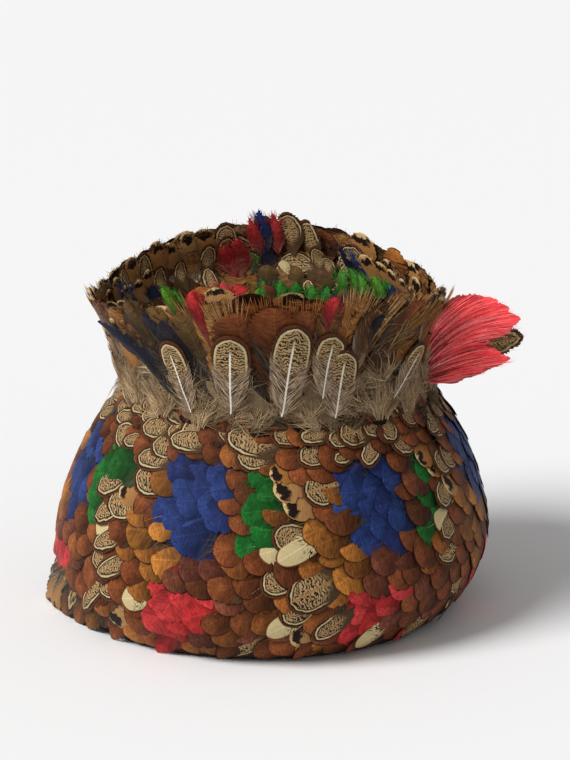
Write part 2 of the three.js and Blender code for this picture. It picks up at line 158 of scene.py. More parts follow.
class Surface:
    """A surface round the hat. A place on it is an angle and a distance along its profile in millimetres:
    x = axis + lean + half width * cos, y = half depth * sin, z = height - droop * cos squared."""

    def __init__(self, profile, facing=1):
        rows = []
        for low, high, out, up in profile:
            low, high = np.array(LEVELS[low], float), np.array(LEVELS[high], float)
            rows.append(low + (high - low) * np.array([out, out, up, up, up]))
        rows = np.array(rows) * [0.5, 0.5, 1, 1, 1]
        curve = np.hstack([spline(rows[:, :3], 24), spline(rows[:, 3:], 24)])
        steps = np.hypot(np.diff(curve[:, 0]), np.diff(curve[:, 2]))
        lengths = np.concatenate([[0], np.cumsum(steps)])
        self.length = lengths[-1]
        self.facing = facing
        spare = 30
        slope_low = (curve[0] - curve[1]) / (lengths[1] - lengths[0])
        slope_high = (curve[-1] - curve[-2]) / (lengths[-1] - lengths[-2])
        self.curve = np.vstack([curve[0] + slope_low * spare, curve, curve[-1] + slope_high * spare])
        self.lengths = np.concatenate([[-spare], lengths, [self.length + spare]])

    def column(self, distance, number):
        return np.interp(distance, self.lengths, self.curve[:, number])

    def bare(self, angle, distance):
        wide, deep, high, lean, droop = (self.column(distance, number) for number in range(5))
        cos, sin = np.cos(angle), np.sin(angle)
        return np.stack([AXIS_X + lean + wide * cos, deep * sin, high - droop * cos * cos], -1)

    def normal(self, angle, distance):
        around = self.bare(angle + 0.01, distance) - self.bare(angle - 0.01, distance)
        up = self.bare(angle, distance + 0.6) - self.bare(angle, distance - 0.6)
        across = np.cross(around, up) * self.facing
        return across / np.maximum(np.linalg.norm(across, axis=-1, keepdims=True), 1e-9)

    def place(self, angle, distance, lift):
        """Points in metres, lifted off the surface along its normal by a number of millimetres, and kept just
        above the floor."""
        points = self.bare(angle, distance) + self.normal(angle, distance) * lift[..., None]
        points[..., 2] = np.maximum(points[..., 2], FLOOR_GAP)
        return points * METRES

    def radius(self, distance):
        return (self.column(distance, 0) + self.column(distance, 1)) / 2

    def lay(self, places, vanes):
        """Points of feathers whose tips stand at places. Along and across are turned by the heading, then
        measured round the surface and up its profile."""
        turn = places["heading"][:, None]
        around = vanes.along * np.cos(turn) + vanes.across * np.sin(turn)
        up = vanes.along * np.sin(turn) - vanes.across * np.cos(turn)
        radius = self.radius(places["climb"])[:, None]
        lift = places["lift"][:, None] + vanes.high
        return self.place(places["angle"][:, None] + around / radius, places["climb"][:, None] + up, lift)


class Bowl(Surface):
    """The bowl's surface. Near its middle, feathers are laid out in plan, since its rings shrink to a point."""

    floor_reach = 50

    def under(self, x, y):
        """The angle and the distance along the profile under a point in plan, in millimetres."""
        lean, wide, deep = (self.column(self.floor_reach, number) for number in (3, 0, 1))
        east, north = (x - AXIS_X - lean) * deep / wide, y
        flat = self.lengths < self.floor_reach + 12
        reach = np.interp(np.hypot(east, north), self.curve[flat, 1], self.lengths[flat])
        return np.arctan2(north, east), reach

    def lay_in_plan(self, places, vanes):
        """Points of feathers in plan: the heading is an angle from the +X axis, and the height comes last."""
        turn = places["heading"][:, None]
        anchor = self.bare(places["angle"], places["climb"])
        x = anchor[:, :1] + vanes.along * np.cos(turn) + vanes.across * np.sin(turn)
        y = anchor[:, 1:2] + vanes.along * np.sin(turn) - vanes.across * np.cos(turn)
        angle, distance = self.under(x, y)
        return self.place(angle, distance, places["lift"][:, None] + vanes.high)

    def lay(self, places, vanes):
        """Feathers on the bowl's floor are laid in plan, and those on its wall round it and up it, where a heading
        of a quarter turn points up."""
        near = (places["climb"] < self.floor_reach)[:, None, None]
        upright = {**places, "heading": places["heading"] - places["angle"] + math.pi / 2}
        return np.where(near, self.lay_in_plan(places, vanes), super().lay(upright, vanes))


BODY = Surface(BODY_PROFILE)
RUFF = Surface(RUFF_PROFILE)
BOWL = Bowl(BOWL_PROFILE, -1)

# Forms of feather, sizes in millimetres. Root, blunt and taper shape the outline, rake sweeps the barbs forward,
# fray shortens barbs at random and rare makes that rarer, arch is the height over the edges, rise lifts the tip
# and tilt the lower edge, bend curves the shaft, and waver changes the width from feather to feather.
FORMS = {
    "scale": dict(length=29, width=18.5, barbs=14, columns=2, root=0.5, blunt=3.0, taper=0.52, rake=0.35,
                  fray=0.3, rare=6, arch=0.45, rise=2.6, tilt=0.8, bend=2.2, waver=0.14),
    "speckled": dict(length=30, width=19, barbs=16, columns=3, root=0.5, blunt=2.8, taper=0.52, rake=0.35,
                     fray=0.12, rare=4, arch=0.6, rise=2.9, tilt=0.6, bend=2.2, waver=0.12),
    "dyed": dict(length=38, width=27, barbs=26, columns=3, root=0.6, blunt=2.6, taper=0.65, rake=0.5,
                 fray=0.2, rare=2.4, arch=0.2, rise=2.3, tilt=0.1, bend=1.2, waver=0.1),
    "ruff": dict(length=54, width=31, barbs=44, columns=3, root=0.6, blunt=5, taper=0.55, rake=0.5,
                 fray=0.3, rare=3, arch=1.6, rise=2.2, tilt=1.2, bend=5, waver=0.2),
    "bowl": dict(length=32, width=21, barbs=18, columns=2, root=0.5, blunt=2.8, taper=0.52, rake=0.4,
                 fray=0.3, rare=3, arch=0.8, rise=3.4, tilt=0.7, bend=2.5, waver=0.16),
    "hackle": dict(length=58, width=16, barbs=30, columns=2, root=0.45, blunt=1.5, taper=1, rake=0.3,
                   fray=0.3, rare=2, arch=1.4, rise=1.5, tilt=0.2, bend=7, waver=0.1),
    "shaft": dict(length=50, width=21, barbs=44, columns=4, root=0.42, blunt=5, taper=0.5, rake=0.28,
                  fray=0.1, rare=3, arch=1.2, rise=0.8, tilt=0.1, bend=2, waver=0.05),
}


def outline(along, form):
    """Half width of a feather at a share of its length: along^root * (1 - along^blunt)^taper, peak 1."""
    def half(share):
        return share ** form["root"] * np.maximum(1 - share ** form["blunt"], 0) ** form["taper"]
    return half(along) / half(np.linspace(0, 1, 60)).max()


class Vanes:
    """Closed thin feathers of one form, each with its tip at 0 and its root at minus its length.

    Barb i leaves the shaft at a = 1 - (1 - i / barbs)^1.6 and meets the outline at e = a + (1 - a) * rake. At a
    share t of a barb, across = side * half(e) * t and along = a * (1 - t) + e * t. The top rises by
    arch * (1 - t^2), and the underside joins the two edges, so a feather is thick along its shaft only."""

    def __init__(self, form, sizes, dice):
        count, barbs, columns = len(sizes), form["barbs"], form["columns"]
        bend = dice.uniform(-1, 1, (count, 1)) * form["bend"]
        widths = sizes[:, None] * dice.uniform(1 - form["waver"], 1 + form["waver"], (count, 1))
        sizes = sizes[:, None]
        steps = np.arange(barbs) / barbs
        starts = (1 - (1 - steps) ** 1.6)[None, :, None]
        ends = starts + (1 - starts) * form["rake"]
        shares = np.linspace(-1, 1, 2 * columns + 1)
        reach = 1 - form["fray"] * dice.random((count, barbs, 2)) ** form["rare"]
        shares = shares * reach[:, :, (shares > 0).astype(int)]
        t = np.abs(shares)
        half = outline(ends, form)
        across = shares * half
        along = starts * (1 - t) + ends * t
        edge = np.minimum(half * form["width"] / 2, (1 - starts) * form["length"]) * (1 - t)
        starts = np.broadcast_to(starts, t.shape)
        self.form = form
        self.count = count
        self.share = self.with_tip(along, 1)
        self.across = self.with_tip(across, 0) * widths * form["width"] / 2 + bend * (1 - self.share) ** 2
        self.along = (self.share - 1) * sizes * form["length"]
        self.rim = self.with_tip(edge, 0) * sizes
        lower = self.with_tip(-across, 0)
        arch = self.with_tip(form["arch"] * (1 - t**2), 0)
        self.high = arch + form["rise"] * self.share ** form.get("curl", 1) + form["tilt"] * lower
        self.lie = np.stack([self.with_tip(shares, 0) / 2 + 0.5, self.with_tip(starts, 1)], -1)
        self.faces = self.one_feather(barbs, 2 * columns + 1)

    def with_tip(self, rows, tip):
        """Rows and columns laid in one line, with the tip's value last."""
        flat = rows.reshape(len(rows), -1)
        return np.hstack([flat, np.full((len(flat), 1), tip, float)])

    def one_feather(self, rows, columns):
        grid = np.arange(rows * columns).reshape(rows, columns)
        tip = rows * columns
        a, b, c, d = grid[:-1, :-1], grid[:-1, 1:], grid[1:, 1:], grid[1:, :-1]
        left, right = grid[:, 0], grid[:, -1]
        tips = np.full(columns - 1, tip)
        parts = [
            (a, b, c),
            (a, c, d),
            (grid[-1, :-1], grid[-1, 1:], tips),
            (left[:-1], left[1:], right[1:]),
            (left[:-1], right[1:], right[:-1]),
            (left[-1:], tips[:1], right[-1:]),
            (np.full(columns - 2, left[0]), grid[0, 2:], grid[0, 1:-1]),
        ]
        return np.concatenate([np.stack([corner.ravel() for corner in part], -1) for part in parts])


def strand_tubes(paths, radius):
    """A three-sided tube along each path, its radius shrinking as (1 - share)^0.6 to a point at the end."""
    count, rings = paths.shape[:2]
    ahead = np.gradient(paths, axis=1)
    ahead /= np.maximum(np.linalg.norm(ahead, axis=-1, keepdims=True), 1e-9)
    side = np.cross(ahead, [0.36, 0.27, 0.89])
    side /= np.maximum(np.linalg.norm(side, axis=-1, keepdims=True), 1e-9)
    other = np.cross(ahead, side)
    turn = np.arange(3) * 2 * math.pi / 3
    shrink = (1 - np.arange(rings) / (rings - 1)) ** 0.6
    size = (radius[:, None] * shrink)[..., None, None] * METRES
    around = np.cos(turn)[:, None] * side[:, :, None] + np.sin(turn)[:, None] * other[:, :, None]
    points = (paths[:, :, None] + around * size)[:, :-1].reshape(count, -1, 3)
    points = np.concatenate([points, paths[:, -1:]], 1)
    ring = np.arange((rings - 1) * 3).reshape(rings - 1, 3)
    after = np.roll(ring, -1, 1)
    tip = np.full(3, ring.size)
    parts = [
        (ring[:-1], after[:-1], after[1:]),
        (ring[:-1], after[1:], ring[1:]),
        (ring[-1], after[-1], tip),
        (ring[0, :1], ring[0, 2:], ring[0, 1:2]),
    ]
    faces = np.concatenate([np.stack([corner.ravel() for corner in part], -1) for part in parts])
    along = np.append(np.repeat(np.linspace(0, 1, rings)[:-1], 3), 1)
    return points, faces, along


class Plumage:
    """One piece under construction: closed meshes with the lie, rim and tint that its finish reads."""

    def __init__(self):
        self.points, self.faces, self.lies, self.rims, self.tints = [], [], [], [], []
        self.total = 0

    def add(self, points, faces, lie, rim, tint):
        """Points are (pieces, corners, 3), faces belong to one piece, and tint is one number for each piece."""
        count, corners = points.shape[:2]
        volume = np.einsum("pfi,pfi->", points[:1][:, faces[:, 0]] - points[:1].mean(1, keepdims=True),
                           np.cross(points[:1][:, faces[:, 1]] - points[:1].mean(1, keepdims=True),
                                    points[:1][:, faces[:, 2]] - points[:1].mean(1, keepdims=True)))
        if volume < 0:
            faces = faces[:, ::-1]
        starts = self.total + np.arange(count)[:, None, None] * corners
        self.faces.append((faces[None] + starts).reshape(-1, 3))
        self.points.append(points.reshape(-1, 3))
        self.lies.append(np.broadcast_to(lie, (count, corners, 2)).reshape(-1, 2))
        self.rims.append(np.broadcast_to(rim, (count, corners)).reshape(-1))
        self.tints.append(np.repeat(tint, corners))
        self.total += count * corners

    def add_feathers(self, surface, form, places, dice):
        vanes = Vanes(form, places["size"], dice)
        self.add(surface.lay(places, vanes), vanes.faces, vanes.lie, vanes.rim, places["tint"])

    def add_strands(self, paths, radius, tint):
        points, faces, along = strand_tubes(paths, radius)
        lie = np.stack([np.full_like(along, 0.75), 0.7 + along * 0.3], -1)
        self.add(points, faces, lie, np.full_like(along, 4), tint)

    def build(self, name, material, nodes):
        """The object at the origin, riding on the hat and standing for its CAD nodes."""
        points = np.concatenate(self.points).astype(np.float32)
        faces = np.concatenate(self.faces).astype(np.int32)
        mesh = bpy.data.meshes.new(name)
        mesh.vertices.add(len(points))
        mesh.vertices.foreach_set("co", points.ravel())
        mesh.loops.add(faces.size)
        mesh.loops.foreach_set("vertex_index", faces.ravel())
        mesh.polygons.add(len(faces))
        mesh.polygons.foreach_set("loop_start", np.arange(len(faces), dtype=np.int32) * 3)
        mesh.polygons.foreach_set("use_smooth", np.ones(len(faces), bool))
        mesh.update(calc_edges=True)
        lie = np.concatenate(self.lies).astype(np.float32)
        mesh.uv_layers.new(name="lie").data.foreach_set("uv", lie[faces.ravel()].ravel())
        for label, values in (("rim", self.rims), ("tint", self.tints)):
            held = mesh.attributes.new(label, "FLOAT", "POINT")
            held.data.foreach_set("value", np.concatenate(values).astype(np.float32))
        mesh.set_sharp_from_angle(angle=math.radians(70))
        mesh.materials.append(material)
        piece = bpy.data.objects.new(name, mesh)
        bpy.context.scene.collection.objects.link(piece)
        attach(piece, "root")
        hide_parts(*nodes)
        return piece


class Socket:
    """One output in a material. Sums, products and powers of it add Math nodes."""

    def __init__(self, finish, socket):
        self.finish = finish
        self.socket = socket

    def maths(self, operation, *values):
        return self.finish.node("ShaderNodeMath", {"operation": operation}, dict(enumerate(values)))

    def __add__(self, other):
        return self.maths("ADD", self, other)

    def __sub__(self, other):
        return self.maths("SUBTRACT", self, other)

    def __rsub__(self, other):
        return self.maths("SUBTRACT", other, self)

    def __mul__(self, other):
        return self.maths("MULTIPLY", self, other)

    def __pow__(self, other):
        return self.maths("POWER", self, other)

    def __abs__(self):
        return self.maths("ABSOLUTE", self)

    def sine(self):
        return self.maths("SINE", self)

    def at_most(self, other):
        return self.maths("MINIMUM", self, other)

    def at_least(self, other):
        return self.maths("MAXIMUM", self, other)

    __radd__ = __add__
    __rmul__ = __mul__


class Finish:
    """A material under construction, whose nodes come from one method."""

    def __init__(self, name):
        self.material = bpy.data.materials.new(name)
        self.material.use_nodes = True
        self.tree = self.material.node_tree
        self.tree.nodes.clear()

    def node(self, kind, settings=None, inputs=None, output=0):
        """A node of a type: its settings first, a ramp's stops among them, then its sockets' values or links."""
        made = self.tree.nodes.new(kind)
        for name, value in (settings or {}).items():
            if name == "stops":
                self.set_stops(made.color_ramp, value)
            else:
                setattr(made, name, value)
        for name, value in (inputs or {}).items():
            if isinstance(value, Socket):
                self.tree.links.new(value.socket, made.inputs[name])
            else:
                made.inputs[name].default_value = value
        return Socket(self, made.outputs[output]) if len(made.outputs) else None

    def set_stops(self, ramp, stops):
        while len(ramp.elements) < len(stops):
            ramp.elements.new(0.5)
        for element, (position, colour) in zip(ramp.elements, sorted(stops)):
            element.position = position
            element.color = solid(colour)

    def lie(self):
        """Across the feather from -1 to 1, and along its shaft from root to tip."""
        uv = self.node("ShaderNodeUVMap", {"uv_map": "lie"})
        across = self.node("ShaderNodeSeparateXYZ", inputs={0: uv}, output=0)
        along = Socket(self, across.socket.node.outputs[1])
        return across * 2 - 1, along

    def attribute(self, name):
        return self.node("ShaderNodeAttribute", {"attribute_name": name}, output="Fac")

    def vector(self, x, y, z):
        return self.node("ShaderNodeCombineXYZ", inputs={0: x, 1: y, 2: z})

    def noise(self, vector, scale=1.0, detail=2.0, distortion=0.0):
        inputs = {"Vector": vector, "Scale": scale, "Detail": detail, "Distortion": distortion}
        return self.node("ShaderNodeTexNoise", inputs=inputs)

    def step(self, value, low, high):
        """A smooth step from 0 at low to 1 at high."""
        inputs = {"Value": value, "From Min": low, "From Max": high}
        return self.node("ShaderNodeMapRange", {"interpolation_type": "SMOOTHSTEP"}, inputs)

    def ramp(self, value, stops):
        return self.node("ShaderNodeValToRGB", {"stops": stops}, {0: value})

    def mix(self, share, first, second):
        first, second = solid(first), solid(second)
        return self.node("ShaderNodeMix", {"data_type": "RGBA"}, {0: share, 6: first, 7: second}, output=2)

    def scaled(self, colour, amount):
        colour = colour if isinstance(colour, Socket) else tuple(colour[:3])
        return self.node("ShaderNodeVectorMath", {"operation": "SCALE"}, {0: colour, "Scale": amount})

    def bump(self, height, strength, distance):
        inputs = {"Height": height, "Strength": strength, "Distance": distance}
        return self.node("ShaderNodeBump", inputs=inputs)

    def close(self, colour, roughness, normal, sheen=0.02, shine=0.07):
        inputs = {
            "Base Color": colour,
            "Roughness": roughness,
            "Normal": normal,
            "Sheen Weight": sheen,
            "Sheen Roughness": 0.5,
            "Specular IOR Level": shine,
        }
        cover = self.node("ShaderNodeBsdfPrincipled", inputs=inputs)
        self.node("ShaderNodeOutputMaterial", inputs={"Surface": cover})
        return self.material


def solid(colour):
    """A colour with its fourth number, left alone if it is a link."""
    return colour if isinstance(colour, Socket) or len(colour) == 4 else (*colour, 1.0)


def barb_streaks(finish, across, along, tint, density=46):
    """Noise drawn out along the barbs: the place on the shaft runs fast, the way out along a barb slowly."""
    return finish.noise(finish.vector(along * density + tint * 90, abs(across) * 2.4, tint * 37 + across), detail=3)


def plain_feather(name, stops, root, streaky=0.65, density=46, edge_shading=0.9, own_range=0.2):
    """Barbs of one colour for each feather, chosen by its tint, with a thin edge of painted shade and a greyer root."""
    finish = Finish(name)
    across, along = finish.lie()
    tint = finish.attribute("tint")
    rim = finish.attribute("rim")
    streak = barb_streaks(finish, across, along, tint, density)
    broad = finish.noise(finish.vector(along * 7 + tint * 50, across * 2, tint * 19), detail=2)
    # Painted shade: a thin dark line along the outline, standing in for the shadow between overlapping feathers;
    # edge_shading sets how dark it is.
    edge = finish.step(rim, 0.7, 0.15)
    shaft = finish.step(abs(across), 0.06, 0.02)
    fluffy = finish.mix(finish.step(streak, 0.4, 0.65), root, mixed(root, (0.3, 0.24, 0.17), 0.4))
    base = finish.mix(finish.step(along + (streak - 0.5) * 0.4, 0.5, 0.22), finish.ramp(tint, stops), fluffy)
    fine = finish.step(streak, 0.3, 0.7)
    light = (fine * streaky + 1 - streaky / 2) * (finish.step(broad, 0.3, 0.7) * 0.4 + 0.8) * (1 - edge * edge_shading)
    own = finish.noise(finish.vector(tint * 310, tint * 170, 3.0), detail=0.0)
    # Painted shade and light: darker from the middle down to the root, where the next feather covers it, and brighter
    # at the tip; the shaft itself is paler.
    light = light * (shaft * 0.3 + 1) * (finish.step(along, 0.45, 1.0) * 0.8 + 0.5)
    light = light * (finish.step(own, 0.3, 0.7) * own_range + 1 - own_range / 2)
    return finish.close(finish.scaled(base, light), streak * 0.2 + 0.45, finish.bump(streak, 0.6, 0.0006))


def squiggles(finish, across, along, tint, density=18.0):
    """Dark bars in chevrons: the sine of a phase that grows along the shaft and outwards, and is wobbled."""
    wobble = finish.noise(finish.vector(along * 15 + tint * 70, across * 4, tint * 23), detail=2)
    wave = ((along * density + abs(across) * 3.6 + wobble * 3) * (2 * math.pi)).sine()
    breaks = finish.noise(finish.vector(along * 30 + tint * 30, across * 9, tint * 57), detail=1)
    return finish.step(wave + (breaks - 0.5) * 2.5, -0.2, 0.5)


def speckled_feather(name, colours):
    """A brown border, then a cream band between two dark lines, and cream barbs crossed by dark squiggles."""
    finish = Finish(name)
    across, along = finish.lie()
    tint = finish.attribute("tint")
    streak = barb_streaks(finish, across, along, tint)
    uneven = finish.noise(finish.vector(along * 6 + tint * 50, across * 2, tint * 19), detail=1)
    rim = finish.attribute("rim") + (streak - 0.5) * 0.5 + (uneven - 0.5) * 1.6
    cream = finish.mix(tint, colours["cream"], colours["pale"])
    middle = finish.mix(squiggles(finish, across, along, tint), colours["pale"], colours["speck"])
    colour = finish.mix(finish.step(rim, 2.25, 2.6), cream, middle)
    inner = finish.step(rim, 2.35, 2.5) * finish.step(rim, 3.3, 2.9)
    colour = finish.mix(inner * 0.9, colour, colours["dark"])
    colour = finish.mix(finish.step(abs(across), 0.08, 0.03), colour, colours["tan"])
    colour = finish.mix(finish.step(rim, 1.2, 1.0), colour, colours["edge"])
    line = finish.step(rim, 0.75, 0.9) * finish.step(rim, 1.75, 1.6)
    colour = finish.mix(line, colour, colours["dark"])
    colour = finish.mix(finish.step(along, 0.45, 0.2), colour, colours["root"])
    # Painted shade: darker over the outermost 0.4 mm of the outline, for the shadow between overlapping feathers.
    light = (streak * 0.7 + 0.65) * (1 - finish.step(rim, 0.4, 0.1) * 0.5)
    return finish.close(finish.scaled(colour, light), 0.55, finish.bump(streak, 0.5, 0.0006))


def shaft_feather(name, colours):
    """A speckled, cream-banded top over a plain downy lower half, with a white shaft."""
    finish = Finish(name)
    across, along = finish.lie()
    tint = finish.attribute("tint")
    streak = barb_streaks(finish, across, along, tint, 70)
    rim = finish.attribute("rim") + (streak - 0.5) * 0.6
    middle = finish.mix(squiggles(finish, across, along, tint, 22), colours["pale"], colours["speck"])
    colour = finish.mix(finish.step(rim, 2.7, 3.0), colours["cream"], middle)
    colour = finish.mix(finish.step(rim, 2.0, 1.7), colour, colours["dark"])
    colour = finish.mix(finish.step(rim, 1.4, 1.1), colour, mixed(colours["edge"], colours["dark"], 0.35))
    colour = downy(finish, colour, along, streak, colours, 0.36, 0.6)
    white = finish.step(abs(across), 0.06, 0.035) * finish.step(along, 0.86, 0.7)
    colour = finish.mix(white, colour, colours["white"])
    light = streak * 0.8 + 0.5
    return finish.close(finish.scaled(colour, light), 0.55, finish.bump(streak, 0.6, 0.0007))


def banded_feather(name, colours):
    """Gold barbs with a black band before a pale tip, its edges torn by noise."""
    finish = Finish(name)
    across, along = finish.lie()
    tint = finish.attribute("tint")
    streak = barb_streaks(finish, across, along, tint)
    broad = finish.noise(finish.vector(along * 3 + tint * 71, across * 1.7, tint * 33), detail=1)
    torn = along + (streak - 0.5) * 0.14 + abs(across) * 0.05 + (broad - 0.5) * 0.3
    inner = finish.step(abs(across) + (broad - 0.5) * 1.2, 0.85, 0.6)
    band = finish.step(torn, 0.76, 0.79) * finish.step(torn, 0.97, 0.93) * inner
    gold = finish.mix(tint, colours["gold"], colours["tan"])
    tip = finish.step(torn, 0.9, 0.97)
    colour = finish.mix(tip, gold, mixed(colours["gold"], colours["cream"], 0.55))
    colour = finish.mix(finish.step(streak, 0.6, 0.75) * 0.6, colour, colours["umber"])
    colour = finish.mix(band, colour, colours["black"])
    colour = downy(finish, colour, along, streak, colours, 0.2, 0.4)
    # Painted shade and light: darker towards the root, where the feathers overlap, and brighter towards the tip.
    light = (streak * 0.9 + 0.6) * (along * 0.9 + 0.4)
    return finish.close(finish.scaled(colour, light), 0.5, finish.bump(streak, 0.5, 0.0006))


def cream_feather(name, colours):
    """Cream barbs with a pale shaft, a thin dark edge and a speckled root."""
    finish = Finish(name)
    across, along = finish.lie()
    tint = finish.attribute("tint")
    rim = finish.attribute("rim")
    streak = barb_streaks(finish, across, along, tint)
    spots = finish.noise(finish.vector(along * 26 + tint * 40, across * 6, tint * 11), detail=1)
    speckle = finish.step(spots, 0.52, 0.6) * finish.step(along, 0.62, 0.4)
    colour = finish.mix(speckle, colours["cream"], colours["dark"])
    colour = finish.mix(finish.step(rim, 0.9, 0.4), colour, colours["edge"])
    light = (streak * 0.4 + 0.8) * (finish.step(abs(across), 0.07, 0.02) * 0.25 + 1)
    return finish.close(finish.scaled(colour, light), 0.5, finish.bump(streak, 0.4, 0.0006))


def downy(finish, colour, along, streak, colours, low, high):
    """The colour over a feather's top, and grey fluff with pale streaks over its root."""
    fluffy = finish.mix(finish.step(streak, 0.4, 0.65), colours["root"], colours["ash"])
    return finish.mix(finish.step(along + (streak - 0.5) * 0.5, high, low), colour, fluffy)


def streaked_feather(name, colours):
    """Golden brown barbs with fine darker and paler streaks, dark along the shaft, and fluff at the root."""
    finish = Finish(name)
    across, along = finish.lie()
    tint = finish.attribute("tint")
    streak = barb_streaks(finish, across, along, tint, 110)
    hue = finish.ramp(tint, [(0, colours["brown"]), (0.3, colours["umber"]), (0.55, colours["gold"]),
                             (0.8, colours["tan"]), (1, colours["umber"])])
    colour = finish.mix(finish.step(streak, 0.5, 0.34) * 0.8, hue, colours["brown"])
    colour = finish.mix(finish.step(streak, 0.6, 0.72) * 0.8, colour, colours["pale"])
    blotch = finish.noise(finish.vector(along * 5 + tint * 97, across * 1.6, tint * 41), detail=3)
    colour = finish.mix(finish.step(blotch, 0.62, 0.68) * 0.85, colour, colours["dark"])
    colour = downy(finish, colour, along, streak, colours, 0.12, 0.36)
    # Painted shade: darker along the outline, standing in for the dark gaps between the ruff's feathers.
    edge = finish.step(finish.attribute("rim"), 1.2, 0.2)
    light = (finish.step(streak, 0.32, 0.68) * 0.9 + 0.35) * (1 - edge * 0.6) * (blotch * 1.2 + 0.4)
    return finish.close(finish.scaled(colour, light), 0.5, finish.bump(streak, 0.6, 0.0008))


def fluff(name, colour, pale):
    """Grey brown fluff, mottled at two sizes, paler where a strand's end is."""
    finish = Finish(name)
    along = finish.lie()[1]
    tint = finish.attribute("tint")
    place = finish.node("ShaderNodeTexCoord", output="Object")
    mottle = finish.noise(place, 90, 4)
    fine = finish.noise(place, 700, 2)
    shade = finish.mix(tint * (along * 0.5 + 0.5), colour, pale)
    light = (mottle * 0.9 + 0.45) * (fine * 0.7 + 0.65)
    return finish.close(finish.scaled(shade, light), 0.8, finish.bump(fine, 0.6, 0.001), sheen=0.1, shine=0.15)


def felt(name, colour, grain):
    """Matted wool: two sizes of noise in the colour and a fine fibre bump."""
    finish = Finish(name)
    place = finish.node("ShaderNodeTexCoord", output="Object")
    mottle = finish.noise(place, 60, 4)
    fibre = finish.noise(place, grain, 3, 1.5)
    light = (mottle * 0.7 + 0.65) * (fibre * 0.8 + 0.6)
    return finish.close(finish.scaled(solid(colour), light), 0.92, finish.bump(fibre, 0.8, 0.0008), sheen=0.1, shine=0.1)


def tinted(name, description, default):
    return bpy.props.FloatVectorProperty(
        name=name, description=description, default=default, size=3, min=0, max=1, subtype="COLOR")


class FeatherColours(bpy.types.PropertyGroup):
    rust: tinted("Rust", "Colour of the rust feathers", (0.17, 0.046, 0.014))
    orange: tinted("Orange", "Colour of the golden orange feathers", (0.3, 0.112, 0.02))
    mauve: tinted("Mauve", "Colour of the mauve feathers", (0.12, 0.034, 0.019))
    brown: tinted("Brown", "Colour of the dark brown feathers", (0.056, 0.022, 0.008))
    umber: tinted("Umber", "Colour of the middle brown feathers", (0.15, 0.056, 0.018))
    blue: tinted("Blue", "Colour of the dyed blue feathers", (0.011, 0.024, 0.112))
    green: tinted("Green", "Colour of the dyed green feathers", (0.009, 0.11, 0.016))
    lime: tinted("Lime", "Colour of the pale green feathers in the bowl", (0.075, 0.19, 0.012))
    red: tinted("Red", "Colour of the dyed red feathers", (0.385, 0.017, 0.018))
    pink: tinted("Pink", "Colour of the palest barbs of the red pads", (0.95, 0.09, 0.1))
    cream: tinted("Cream", "Colour of the cream edges", (0.55, 0.44, 0.23))
    tan: tinted("Tan", "Colour of the tan feathers and shafts", (0.34, 0.185, 0.072))
    gold: tinted("Gold", "Colour of the golden feathers", (0.3, 0.12, 0.027))
    dark: tinted("Dark", "Colour of the speckles", (0.02, 0.011, 0.007))
    navy: tinted("Navy", "Colour of the dark hackles", (0.006, 0.011, 0.028))
    olive: tinted("Olive", "Colour of the olive brown feathers in the bowl", (0.125, 0.068, 0.02))
    down: tinted("Down", "Colour of the fluff", (0.06, 0.035, 0.016))
    wisp: tinted("Wisp", "Colour of the palest strands of fluff", (0.7, 0.49, 0.27))
    felt: tinted("Felt", "Colour of the felt", (0.03, 0.018, 0.012))


def measure(name, description, default, low, high):
    return bpy.props.FloatProperty(
        name=name, description=description, default=default, min=low, max=high, subtype="DISTANCE", unit="LENGTH")


class FeatherSizes(bpy.types.PropertyGroup):
    bubble_lift: measure("Bubble lift", "Height of the lowest feathers over the felt", 0.0006, 0, 0.003)
    strand_length: measure("Strand length", "Length of the strands of fluff", 0.017, 0.005, 0.04)
    clump_count: bpy.props.IntProperty(
        name="Clumps", description="Number of clumps of fluff round the waist", default=190, min=10, max=230)
    barb_count: bpy.props.IntProperty(
        name="Loose barbs", description="Number of loose barbs at the tip of a dyed feather", default=16, min=0, max=40)
    camera_distance: measure("Camera distance", "Distance from the camera to the hat", 1.6, 0.5, 4)
    camera_height: bpy.props.FloatProperty(
        name="Camera elevation", description="Angle of the camera above the floor", default=math.radians(15),
        min=0, max=math.pi / 2, subtype="ANGLE", unit="ROTATION")


def colour_of(name):
    return tuple(getattr(bpy.context.scene.feather_colours, name))


def mixed(first, second, share):
    return tuple(a + (b - a) * share for a, b in zip(first, second))


